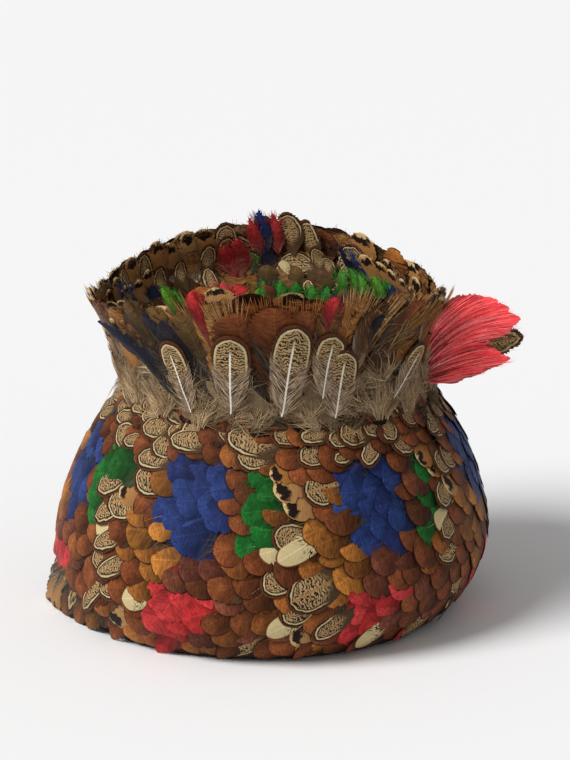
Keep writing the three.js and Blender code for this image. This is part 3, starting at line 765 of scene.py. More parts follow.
def finishes():
    """The feather materials by kind, made once and shared by the pieces."""
    ready = {material.name: material for material in bpy.data.materials}
    rust, orange, mauve, brown = (colour_of(name) for name in ("rust", "orange", "mauve", "brown"))
    cream, tan, gold, dark = (colour_of(name) for name in ("cream", "tan", "gold", "dark"))
    blue, green, lime, red = (colour_of(name) for name in ("blue", "green", "lime", "red"))
    black = mixed(dark, (0, 0, 0), 0.5)
    umber = colour_of("umber")
    palette = {"cream": cream, "tan": tan, "gold": gold, "dark": dark, "black": black, "brown": brown,
               "umber": umber, "edge": mixed(brown, rust, 0.5), "pale": mixed(tan, cream, 0.35),
               "speck": mixed(dark, brown, 0.3), "root": mixed(dark, tan, 0.15),
               "ash": mixed(tan, (0.5, 0.45, 0.38), 0.5), "white": (0.8, 0.74, 0.62)}
    root = mixed(dark, brown, 0.4)
    rust_stops = [(0, mauve), (0.15, mauve), (0.3, mixed(rust, brown, 0.5)), (0.5, rust), (0.62, rust),
                  (0.7, mixed(rust, orange, 0.5)), (0.8, orange), (0.9, brown), (1, mixed(brown, dark, 0.4))]
    olive, navy = colour_of("olive"), colour_of("navy")
    olive_stops = [(0, mixed(brown, dark, 0.4)), (0.4, mixed(olive, dark, 0.4)), (1, olive)]
    golden_stops = [(0, mixed(rust, orange, 0.3)), (0.3, mixed(gold, orange, 0.3)), (0.6, tan), (1, mixed(tan, cream, 0.6))]
    pink = colour_of("pink")
    makers = {
        "rust": lambda name: plain_feather(name, rust_stops, root, own_range=0.65),
        "speckled": lambda name: speckled_feather(name, palette),
        "banded": lambda name: banded_feather(name, palette),
        "cream": lambda name: cream_feather(name, palette),
        "streaked": lambda name: streaked_feather(name, palette),
        "shaft": lambda name: shaft_feather(name, palette),
        "olive": lambda name: plain_feather(name, olive_stops, root, 0.9, 70, 0.4),
        "blue": lambda name: plain_feather(name, [(0, mixed(blue, dark, 0.25)), (1, mixed(blue, (0.1, 0.2, 0.5), 0.1))],
                                           mixed(blue, dark, 0.4), 0.6, 60, 0),
        "green": lambda name: plain_feather(name, [(0, mixed(green, dark, 0.25)), (1, green)],
                                            mixed(green, dark, 0.4), 0.6, 60, 0),
        "lime": lambda name: plain_feather(name, [(0, green), (1, lime)], mixed(green, dark, 0.8), 1.1, 80, 0.3),
        "navy": lambda name: plain_feather(name, [(0, mixed(navy, dark, 0.7)), (1, mixed(navy, blue, 0.3))], dark, 0.9, 60, 0),
        "pad": lambda name: plain_feather(name, [(0, mixed(red, pink, 0.75)), (0.6, pink), (1, mixed(pink, (1, 0.5, 0.5), 0.8))],
                                          mixed(red, pink, 0.5), 0.5, 60, 0),
        "golden": lambda name: plain_feather(name, golden_stops, umber, 0.6, 60, 0),
        "red": lambda name: plain_feather(name, [(0, mixed(red, dark, 0.15)), (1, mixed(red, (1, 0.3, 0.3), 0.06))],
                                          mixed(red, dark, 0.3), 0.6, 60, 0),
    }
    made = {}
    for kind, maker in makers.items():
        name = kind + "_barbs"
        made[kind] = ready.get(name) or maker(name)
    return made


KIND_OF_LETTER = {"R": "rust", "O": "rust", "M": "rust", "B": "blue", "G": "green", "D": "red", "S": "speckled",
                  "K": "banded", "C": "cream"}
TINT_OF_LETTER = {"R": (0.22, 0.72), "O": (0.7, 0.84), "M": (0.02, 0.2)}


def places_of(angle, climb, heading, size, lift, tint):
    """Anchors of feathers as arrays of one length: angles in radians, the rest in millimetres or shares."""
    names = ("angle", "climb", "heading", "size", "lift", "tint")
    arrays = np.broadcast_arrays(*(np.asarray(value, float) for value in (angle, climb, heading, size, lift, tint)))
    return {name: array.ravel() for name, array in zip(names, arrays)}


def chosen(places, mask):
    return {name: array[mask] for name, array in places.items()}


def bubble_places(dice):
    """Anchors of the bubble's feathers in rows and columns, with the letter of each from the chart."""
    letters = np.array([list(row) for row in UNIT_CHART[::-1]])
    rows, columns = letters.shape
    letters = np.tile(letters, (1, UNITS))
    row, column = np.indices(letters.shape)
    turn = 360 / (UNITS * columns)
    azimuth = UNIT_START + turn * (column + 0.5 * (row % 2) - 0.25) + dice.uniform(-1.1, 1.1, letters.shape)
    climb = HEM_CLIMB + ROW_GAP * row + dice.uniform(-2.6, 2.6, letters.shape)
    sweep = np.interp(climb, SWEEP_CLIMBS, SWEEP_DEGREES) + dice.normal(0, 11, letters.shape)
    size = np.clip(BODY.radius(climb) / 108, 0.8, 1.06) * dice.uniform(0.88, 1.16, letters.shape)
    lift = bpy.context.scene.feather_sizes.bubble_lift / METRES + dice.uniform(0, 0.9, letters.shape)
    low, high = (np.vectorize(lambda letter: TINT_OF_LETTER.get(letter, (0.0, 1.0))[end])(letters) for end in (0, 1))
    tint = low + (high - low) * dice.random(letters.shape)
    places = places_of(np.radians(azimuth - 90), climb, np.radians(180 + sweep), size, lift, tint)
    return places, letters.ravel()


class Barbs:
    """Paths of loose barbs in the plane of their feather, in millimetres: along, across and high."""

    def __init__(self, along, across, high):
        self.along = along
        self.across = across
        self.high = high


def loose_barbs(surface, places, each, reach, dice, spread=0.55, thickness=0.13, width=15, high=2.0):
    """Paths of loose barbs that leave a feather's outer half and fan out past its tip. A barb that starts at a
    share s across the width goes forward at spread * s, and bends by the square of its own share."""
    count = len(places["angle"])
    pick = np.repeat(np.arange(count), each)
    near = {name: array[pick] for name, array in places.items()}
    share = dice.uniform(-1, 1, len(pick))
    back = reach * dice.uniform(0.3, 0.9, len(pick)) + 5 * share**2
    length = reach * dice.uniform(0.6, 1.3, len(pick))
    fan = share * spread + dice.normal(0, 0.1, len(pick))
    rings = np.linspace(0, 1, 5)[None, :]
    forward = length[:, None] * rings * np.cos(fan)[:, None] - back[:, None]
    curl = 0.12 * dice.normal(0, 1, (len(pick), 1)) * rings**2
    sideways = share[:, None] * width / 2 + length[:, None] * (rings * np.sin(fan)[:, None] + curl)
    barbs = Barbs(forward, sideways, high + 0.8 * rings * dice.random((len(pick), 1)))
    return surface.lay(near, barbs), thickness * dice.uniform(0.8, 1.4, len(pick)), near["tint"]


class HAT_OT_felt(bpy.types.Operator):
    """Give the felt body and its binding their matted wool finish"""

    bl_idname = "feather_hat.felt"
    bl_label = "Felt"

    def execute(self, context):
        for node, grain in (("felt_body", 1400), ("rim_binding", 1000)):
            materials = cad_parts[node].data.materials
            materials.clear()
            materials.append(felt(node + "_wool", colour_of("felt"), grain))
        return {"FINISHED"}


BUBBLE_NODES = [f"bubble_course_{number}" for number in range(1, 6)]


class HAT_OT_bubble(bpy.types.Operator):
    """Lay the rows of overlapping feathers on the bubble"""

    bl_idname = "feather_hat.bubble"
    bl_label = "Bubble feathers"

    def execute(self, context):
        dice = np.random.default_rng(11)
        covers = finishes()
        places, letters = bubble_places(dice)
        kinds = np.array([KIND_OF_LETTER[letter] for letter in letters])
        for kind in ("rust", "speckled", "banded", "cream", "blue", "green", "red"):
            here = chosen(places, kinds == kind)
            dyed = kind in ("blue", "green", "red")
            form = FORMS["dyed" if dyed else "speckled" if kind == "speckled" else "scale"]
            plumage = Plumage()
            plumage.add_feathers(BODY, form, here, dice)
            each = context.scene.feather_sizes.barb_count if dyed else 4
            width, thickness = (22, 0.13) if dyed else (14, 0.1)
            high = 1.6 if dyed else 2
            paths, radius, tint = loose_barbs(BODY, here, each, 11, dice, 0.35, thickness, width, high)
            plumage.add_strands(paths, radius, tint)
            plumage.build(f"bubble_{kind}", covers[kind], BUBBLE_NODES)
        return {"FINISHED"}


# Single feathers over the front: azimuth from the front and distance up from the hem of the tip, how far it
# points below level towards the left, length, width, and kind.
FRONT_FEATHERS = [
    (-58, 92, 12, 36, 27, "green"),
    (-63, 84, 14, 36, 27, "green"),
    (-62, 74, 18, 34, 25, "green"),
    (-38, 114, 5, 30, 15, "speckled"),
    (-18, 121, -12, 36, 17, "speckled"),
    (6.5, 120, 4, 22, 11, "speckled"),
    (20, 119, 8, 26, 17, "speckled"),
    (27, 101, 48, 26, 13, "speckled"),
    (17, 106, 12, 17, 10, "speckled"),
    (40, 110, 85, 20, 13, "speckled"),
    (58, 109, 12, 22, 11, "speckled"),
    (54, 90, 22, 22, 15, "speckled"),
    (50, 74, 25, 22, 15, "speckled"),
    (49, 57, 30, 24, 15, "speckled"),
    (-86, 107, 20, 20, 13, "speckled"),
    (-70, 114, 15, 20, 12, "speckled"),
    (-63, 123, 10, 18, 11, "speckled"),
    (-57, 105, 20, 20, 12, "speckled"),
    (-52, 116, 10, 26, 15, "speckled"),
    (-47, 100, 12, 30, 14, "speckled"),
    (-58, 77, 48, 34, 17, "speckled"),
    (-55, 64, 42, 34, 15, "speckled"),
    (-53, 51, 35, 32, 14, "speckled"),
    (-50, 39, 28, 30, 13, "speckled"),
    (-57, 15, 52, 42, 11, "speckled"),
    (-40, 31, 12, 18, 14, "cream"),
    (1, 58, 30, 34, 14, "cream"),
    (4, 38, 25, 36, 22, "speckled"),
    (0, 22, 30, 24, 13, "cream"),
    (12, 19, 30, 26, 14, "speckled"),
    (26, 8, 35, 24, 13, "cream"),
]


# Feathers that stand out from the hem: azimuth, climb, sweep, length, width, rise of the tip and kind.
HEM_FEATHERS = [
    (-95, 9, 30, 44, 13, 5, "rust"),
    (-91, 5, 36, 48, 13, 12, "speckled"),
    (-86, 1, 42, 50, 13, 18, "banded"),
    (-88, 13, 36, 44, 11, 5, "speckled"),
    (-84, 6, 42, 48, 10, 11, "speckled"),
    (-80, 1, 47, 46, 11, 15, "banded"),
    (-77, 7, 48, 44, 11, 8, "speckled"),
    (-92, 24, 30, 34, 13, 4, "red"),
    (-73, 1, 50, 42, 13, 11, "rust"),
    (-69, 5, 50, 40, 11, 8, "speckled"),
    (-65, 1, 52, 38, 13, 8, "rust"),
    (-58, 3, 50, 34, 15, 6, "rust"),
    (-47, 2, 52, 32, 15, 5, "rust"),
    (-30, 1, 56, 30, 15, 5, "red"),
    (-12, 3, 52, 30, 15, 4, "rust"),
    (9, 3, 50, 30, 14, 4, "rust"),
    (24, 4, 44, 30, 15, 4, "rust"),
    (40, 4, 40, 30, 15, 4, "red"),
    (60, 5, 36, 32, 14, 4, "rust"),
]


class HAT_OT_front(bpy.types.Operator):
    """Lay the larger single feathers over the front of the bubble"""

    bl_idname = "feather_hat.front"
    bl_label = "Front feathers"

    def execute(self, context):
        dice = np.random.default_rng(12)
        covers = finishes()
        for kind in ("speckled", "cream", "rust", "red", "banded", "green"):
            plumage = Plumage()
            for azimuth, climb, sweep, length, width, rise, named in HEM_FEATHERS:
                if named == kind:
                    form = {**FORMS["dyed"], "length": length, "width": width, "rise": rise, "barbs": 36,
                            "blunt": 1.9, "taper": 0.8, "rake": 0.6, "curl": 1.8}
                    places = places_of([math.radians(azimuth - 90)], climb, math.radians(180 + sweep), 1, 1.6,
                                       dice.uniform(0.6, 0.8))
                    plumage.add_feathers(BODY, form, places, dice)
            for azimuth, climb, sweep, length, width, named in FRONT_FEATHERS:
                if named == kind:
                    form = {**FORMS["dyed" if kind == "green" else "speckled"], "length": length, "width": width,
                            "barbs": 20, "columns": 3, "blunt": 2.6}
                    lift = 2.4 if kind == "green" else 1.9
                    places = places_of([math.radians(azimuth - 90)], climb, math.radians(180 + sweep), 1, lift,
                                       dice.uniform(0, 0.5))
                    plumage.add_feathers(BODY, form, places, dice)
            plumage.build(f"front_{kind}", covers[kind], BUBBLE_NODES)
        return {"FINISHED"}


# Rings of the ruff from the inside out: feathers, climb of their tips, lift, and size.
RUFF_RINGS = [(34, 77, 0.2, 1.0), (30, 68, 0.9, 0.9), (26, 55, 1.4, 0.7)]
# Kinds of the ruff by azimuth from the front: from, to, kinds, lowest and highest tint.
RUFF_KINDS = [
    (-115, -72, "KKT", 0.2, 0.9),
    (-72, -30, "TTOK", 0.0, 0.6),
    (-30, -13, "T", 0.5, 0.75),
    (-13, 17, "R", 0.26, 0.5),
    # Between 17 and 75 degrees the tints keep to brown and umber: darker feathers behind the fans, as painted shade in
    # the gaps between them.
    (17, 75, "TTR", 0.0, 0.5),
    (75, 120, "TK", 0.1, 0.9),
    (120, 180, "TRKO", 0.1, 0.9),
    (-180, -115, "TRKO", 0.1, 0.9),
]
RUFF_LETTERS = {"R": "rust", "T": "streaked", "K": "banded", "O": "olive", "D": "red", "G": "lime", "N": "navy",
                "F": "golden"}
# Fans of long barbs on the ruff: azimuth of the middle, climb of the roots, lean to the right, reach, spread to
# each side in degrees, half the width of the roots, number and tint.
RUFF_FANS = [
    (-13, 58, -4, 32, 17, 6, 34, 0.62),
    (-24, 60, -12, 29, 13, 6, 26, 0.45),
    (1, 69, -2, 16, 6, 10, 30, 0.16),
    (14, 67, 5, 17, 7, 9, 26, 0.22),
    (28, 62, 6, 30, 14, 5, 34, 0.66),
    (37, 58, 32, 33, 12, 6, 30, 0.75),
    (48, 62, 36, 30, 13, 7, 26, 0.5),
    (60, 60, 30, 28, 14, 8, 24, 0.7),
    (82, 62, 14, 26, 14, 9, 24, 0.5),
]
# Single feathers of the ruff: azimuth and climb of the tip, lean to the right, length, width, lift, tint and kind.
RUFF_FEATHERS = [
    (-10, 73, -8, 50, 28, 2.6, 0.42, "rust"),
    (2, 76, 1, 52, 34, 3.4, 0.48, "rust"),
    (13, 74, 8, 50, 28, 2.6, 0.34, "rust"),
    (-19, 78, -9, 50, 28, 2.4, 0.6, "streaked"),
    (23, 80, 12, 52, 22, 3.0, 0.3, "streaked"),
    (31, 84, 18, 54, 20, 2.6, 0.55, "streaked"),
    (39, 80, 26, 54, 18, 3.4, 0.1, "streaked"),
    (47, 87, 34, 56, 20, 2.6, 0.5, "streaked"),
    (55, 82, 40, 52, 16, 3.6, 0.4, "rust"),
    (64, 86, 36, 50, 22, 2.6, 0.65, "banded"),
    (70, 78, 30, 46, 18, 3.2, 0.4, "streaked"),
    (74, 80, 30, 48, 26, 2.6, 0.6, "banded"),
    (-39, 77, -18, 50, 22, 2.6, 0.9, "olive"),
    (-28, 75, -12, 46, 22, 3.0, 0.6, "olive"),
    (-48, 82, -20, 50, 20, 2.6, 0.3, "olive"),
    (-70, 80, -14, 48, 26, 2.4, 0.3, "streaked"),
    (-82, 80, -12, 46, 24, 2.0, 0.7, "banded"),
    (-93, 80, -6, 46, 24, 2.0, 0.7, "banded"),
    (-36, 68, -30, 50, 18, 3.6, 0.05, "navy"),
    (-42, 74, -34, 50, 14, 3.2, 0.15, "navy"),
    (-22, 86, -8, 34, 10, 3.8, 0.3, "red"),
    (-31, 90, -14, 34, 6, 3.8, 0.8, "lime"),
    (21, 82, 10, 26, 13, 4.0, 0.5, "red"),
    (38, 72, 26, 22, 9, 4.0, 0.1, "navy"),
]


class HAT_OT_ruff(bpy.types.Operator):
    """Stand the rings of long feathers round the crown"""

    bl_idname = "feather_hat.ruff"
    bl_label = "Ruff"

    def execute(self, context):
        dice = np.random.default_rng(13)
        covers = finishes()
        rings = []
        for feathers, climb, lift, size in RUFF_RINGS:
            step = 2 * math.pi / feathers
            angle = np.arange(feathers) * step + dice.uniform(0, step) + dice.normal(0, 0.03, feathers)
            heading = math.pi / 2 - dice.normal(0.05, 0.09, feathers)
            rings.append(places_of(angle, climb + dice.uniform(-2.5, 1.5, feathers), heading,
                                   size * dice.uniform(0.9, 1.08, feathers), lift + dice.uniform(0, 0.9, feathers),
                                   dice.random(feathers)))
        places = {name: np.concatenate([ring[name] for ring in rings]) for name in rings[0]}
        azimuth = (np.degrees(places["angle"]) + 90 + 180) % 360 - 180
        letters = np.full(len(azimuth), "T")
        for low, high, choice, tint_low, tint_high in RUFF_KINDS:
            here = (azimuth >= low) & (azimuth < high)
            letters[here] = np.array(list(choice))[dice.integers(0, len(choice), here.sum())]
            places["tint"][here] = tint_low + (tint_high - tint_low) * places["tint"][here]
        for letter, kind in RUFF_LETTERS.items():
            here = chosen(places, letters == letter)
            plumage = Plumage()
            if len(here["angle"]):
                plumage.add_feathers(RUFF, FORMS["ruff"], here, dice)
                self.add_comb(plumage, here, FORMS["ruff"]["width"], 4, dice)
            for place, climb, lean, length, width, lift, tint, named in RUFF_FEATHERS:
                if named == kind:
                    form = {**FORMS["ruff"], "length": length, "width": width}
                    one = places_of([math.radians(place - 90)], climb, math.radians(90 - lean), 1, lift, tint)
                    plumage.add_feathers(RUFF, form, one, dice)
                    self.add_comb(plumage, one, width, 8, dice)
            if kind == "golden":
                self.add_long_barbs(plumage, dice)
                for row in RUFF_FANS:
                    self.add_fan(plumage, row, dice)
            plumage.build(f"ruff_{kind}", covers[kind], ["ruff"])
        return {"FINISHED"}

    def add_long_barbs(self, plumage, dice):
        """Thin golden barbs at the right of the front that lean out over the rest and bend as they rise."""
        count = 60
        places = places_of(np.radians(dice.uniform(30, 62, count) - 90), dice.uniform(46, 66, count),
                           np.radians(dice.normal(46, 12, count)), 1, 5.2, dice.uniform(0.4, 0.85, count))
        rings = np.linspace(0, 1, 7)[None, :]
        reach = dice.uniform(14, 30, (count, 1))
        curve = dice.normal(0.1, 0.25, (count, 1)) * rings**2
        paths = RUFF.lay(places, Barbs(reach * rings, reach * curve, 3 * rings * dice.random((count, 1))))
        plumage.add_strands(paths, dice.uniform(0.2, 0.34, count), places["tint"])

    def add_fan(self, plumage, row, dice):
        """Barbs side by side: each starts at a share of the root's width and leans out by that share of the
        spread."""
        azimuth, climb, lean, reach, spread, width, count, tint = row
        share = np.linspace(-1, 1, count)[:, None] + dice.normal(0, 0.06, (count, 1))
        turn = share * math.radians(spread) + dice.normal(0, 0.03, (count, 1))
        rings = np.linspace(0, 1, 6)[None, :]
        far = reach * dice.uniform(0.75, 1.05, (count, 1)) * (1 - 0.2 * share**2)
        path = Barbs(far * rings * np.cos(turn), share * width + far * rings * np.sin(turn), 2.5 * rings)
        places = places_of([math.radians(azimuth - 90)] * count, climb, math.radians(90 - lean), 1, 4.6,
                           np.clip(tint + dice.normal(0, 0.1, count), 0, 1))
        plumage.add_strands(RUFF.lay(places, path), dice.uniform(0.26, 0.46, count), places["tint"])

    def add_comb(self, plumage, places, width, reach, dice):
        """Barb ends that stand side by side past the tips, like the teeth of a comb."""
        paths, radius, tint = loose_barbs(RUFF, places, 16, reach, dice, 0.2, 0.15, width * 0.8, 3.0)
        plumage.add_strands(paths, radius, tint)


# Rings of the bowl from the middle out: feathers, climb of their tips, lift, size, rise of the tips into the
# bowl, and the kinds they take.
BOWL_RINGS = [
    (6, 18, 0.6, 0.8, 3.4, "OOR"),
    (9, 31, 0.9, 0.9, 3.4, "OOR"),
    (12, 45, 1.1, 1.0, 3.4, "OROS"),
    (15, 59, 1.3, 1.05, 3.4, "OOTRO"),
    (19, 73, 1.4, 1.1, 3, "OTOTR"),
    (23, 85, 1.4, 1.15, 2.5, "TOTRT"),
    (27, 96, 1.2, 1.15, 1, "TSTKR"),
    (31, 105, 0.2, 1.15, -3, "TKTSRT"),
    (35, 112, -1.4, 1.15, -5.5, "TKRTKT"),
]
BOWL_KINDS = {"R": "rust", "S": "speckled", "G": "lime", "D": "red", "T": "streaked", "K": "banded", "B": "blue",
              "O": "olive", "C": "cream", "N": "navy"}
# Single feathers of the bowl: azimuth from the front and climb of the tip, turn from straight outwards, length,
# width and kind.
BOWL_FEATHERS = [
    (175, 89, 0, 14, 9, "C"), (170, 84, 8, 24, 13, "O"), (-178, 84, -6, 24, 13, "O"), (172, 72, 0, 26, 15, "O"),
    (-176, 66, 4, 26, 15, "R"), (-162, 68, 8, 40, 26, "D"), (-156, 72, -10, 34, 20, "D"),
    (-167, 106, -6, 28, 22, "D"), (-161, 103, 8, 26, 15, "D"), (-177, 119, 0, 26, 15, "B"),
    (-173, 115, 10, 24, 12, "D"), (178, 117, 4, 24, 13, "D"), (173, 118, 10, 26, 16, "S"),
    (166, 115, 14, 26, 14, "S"), (-164, 114, -6, 26, 16, "S"), (-155, 113, -8, 26, 15, "K"), (-178, 98, 10, 22, 13, "N"), (-172, 96, -12, 20, 12, "G"),
    (161, 103, 8, 24, 14, "S"), (157, 98, 12, 20, 12, "S"), (150, 108, 22, 34, 10, "N"), (145, 106, 28, 32, 9, "B"),
    (150, 88, 20, 38, 15, "G"), (146, 92, 30, 38, 13, "G"), (141, 88, 36, 36, 13, "G"), (134, 94, 30, 38, 15, "G"),
    (128, 97, 34, 36, 14, "G"), (130, 88, 40, 32, 13, "G"), (124, 92, 30, 32, 13, "G"),
    (176, 70, 0, 34, 18, "G"), (168, 69, 4, 34, 20, "G"), (160, 69, 8, 34, 20, "G"), (152, 69, 12, 34, 18, "G"),
    (-176, 70, -8, 34, 14, "G"),
    (146, 64, 16, 30, 16, "N"), (-174, 64, -34, 40, 12, "G"), (-168, 60, -50, 36, 10, "G"),
    (121, 92, 20, 30, 15, "N"), (116, 96, 14, 28, 13, "N"), (138, 48, 10, 30, 22, "D"), (128, 52, 10, 26, 16, "D"),
    (-92, 108, -8, 28, 20, "K"), (-99, 108, -6, 28, 20, "K"), (-122, 90, -10, 30, 18, "N"),
    (-131, 78, -10, 34, 9, "G"), (-137, 64, -10, 30, 8, "D"), (-131, 62, -14, 28, 8, "D"),
    (-150, 68, -6, 34, 26, "K"), (-141, 102, -8, 28, 12, "S"), (-147, 105, -6, 28, 14, "T"),
    (-155, 106, -8, 26, 14, "S"), (-152, 88, -4, 28, 12, "S"), (-163, 108, -4, 22, 14, "S"),
    (137, 108, 14, 28, 20, "K"), (129, 108, 14, 28, 20, "K"), (121, 108, 10, 28, 20, "K"), (111, 108, 10, 28, 20, "K"),
    (101, 108, 8, 28, 20, "K"), (92, 108, 6, 28, 20, "K"), (164, 74, 20, 18, 10, "S"), (-150, 56, 0, 26, 14, "T"),
    (-112, 115, -8, 38, 13, "S"), (-119, 117, -6, 38, 16, "K"), (-126, 115, -8, 36, 13, "S"), (-134, 117, -8, 36, 16, "K"),
    (-105, 112, -8, 34, 15, "K"), (-115, 103, -8, 34, 15, "K"), (-130, 104, -8, 32, 12, "S"), (-96, 100, -8, 34, 16, "K"),
    (-122, 106, -8, 32, 15, "K"), (-140, 112, -8, 30, 15, "K"), (-148, 114, -8, 28, 14, "K"), (-108, 104, -8, 32, 13, "K"),
    (-56, 121, -16, 40, 8, "N"), (-61, 124, -10, 42, 8, "N"), (-66, 122, -6, 40, 8, "N"), (-104, 101, -8, 32, 12, "S"),
]


class HAT_OT_bowl(bpy.types.Operator):
    """Line the bowl with rings of feathers, their tips outwards"""

    bl_idname = "feather_hat.bowl"
    bl_label = "Bowl feathers"

    def execute(self, context):
        dice = np.random.default_rng(14)
        covers = finishes()
        rings, letters, rises = [], [], []
        for feathers, climb, lift, size, rise, choice in BOWL_RINGS:
            step = 2 * math.pi / feathers
            angle = np.arange(feathers) * step + dice.uniform(0, step) + dice.normal(0, 0.04, feathers)
            heading = angle + dice.normal(0, 0.12, feathers)
            rings.append(places_of(angle, climb + dice.uniform(-3, 2, feathers), heading,
                                   size * dice.uniform(0.9, 1.1, feathers), lift, dice.random(feathers)))
            rises += [rise] * feathers
            letters += list(np.array(list(choice))[dice.integers(0, len(choice), feathers)])
        places = {name: np.concatenate([ring[name] for ring in rings]) for name in rings[0]}
        kinds = np.array([BOWL_KINDS[letter] for letter in letters])
        for letter, kind in BOWL_KINDS.items():
            plumage = Plumage()
            for rise in sorted(set(rises)):
                here = chosen(places, (kinds == kind) & (np.array(rises) == rise))
                if len(here["angle"]):
                    plumage.add_feathers(BOWL, {**FORMS["bowl"], "rise": rise}, here, dice)
            for place, climb, turn, length, width, named in BOWL_FEATHERS:
                if named == letter:
                    form = {**FORMS["bowl"], "length": length, "width": width, "barbs": 24,
                            "rise": -3.5 if climb > 110 else 3.4}
                    if letter in "GBND":
                        form = {**form, "barbs": 60, "blunt": 1.7, "taper": 0.85, "fray": 0.6, "rare": 1.3}
                    angle = math.radians(place - 90)
                    one = places_of([angle], climb, angle - math.radians(turn), 1, 2.4 + dice.uniform(0, 1),
                                    dice.uniform(0.2, 0.9) * (0.4 if climb in (69, 70) else 1))
                    plumage.add_feathers(BOWL, form, one, dice)
                    if letter in "GDBKN":
                        reach, high = (4, -1.5) if climb > 110 else (8, 2.6)
                        paths, radius, tint = loose_barbs(BOWL, one, 24, reach, dice, 0.3, 0.16, width * 0.8, high)
                        plumage.add_strands(paths, radius, tint)
            nodes = [f"bowl_course_{number}" for number in (1, 2, 3)]
            plumage.build(f"bowl_{kind}", covers[kind], nodes)
        return {"FINISHED"}


# Tan fluff over the waist: azimuth from the front, climb of its foot, lean to the right, half width and number.
PALE_FLUFF = [
    (-60, 10, -10, 13, 260),
    (-45, 8, -4, 12, 240),
    (-28, 6, 0, 8, 120),
    (38, 8, 8, 11, 160),
    (52, 8, 14, 11, 160),
    (-76, 12, -10, 10, 160),
    (75, 10, 8, 12, 120),
]


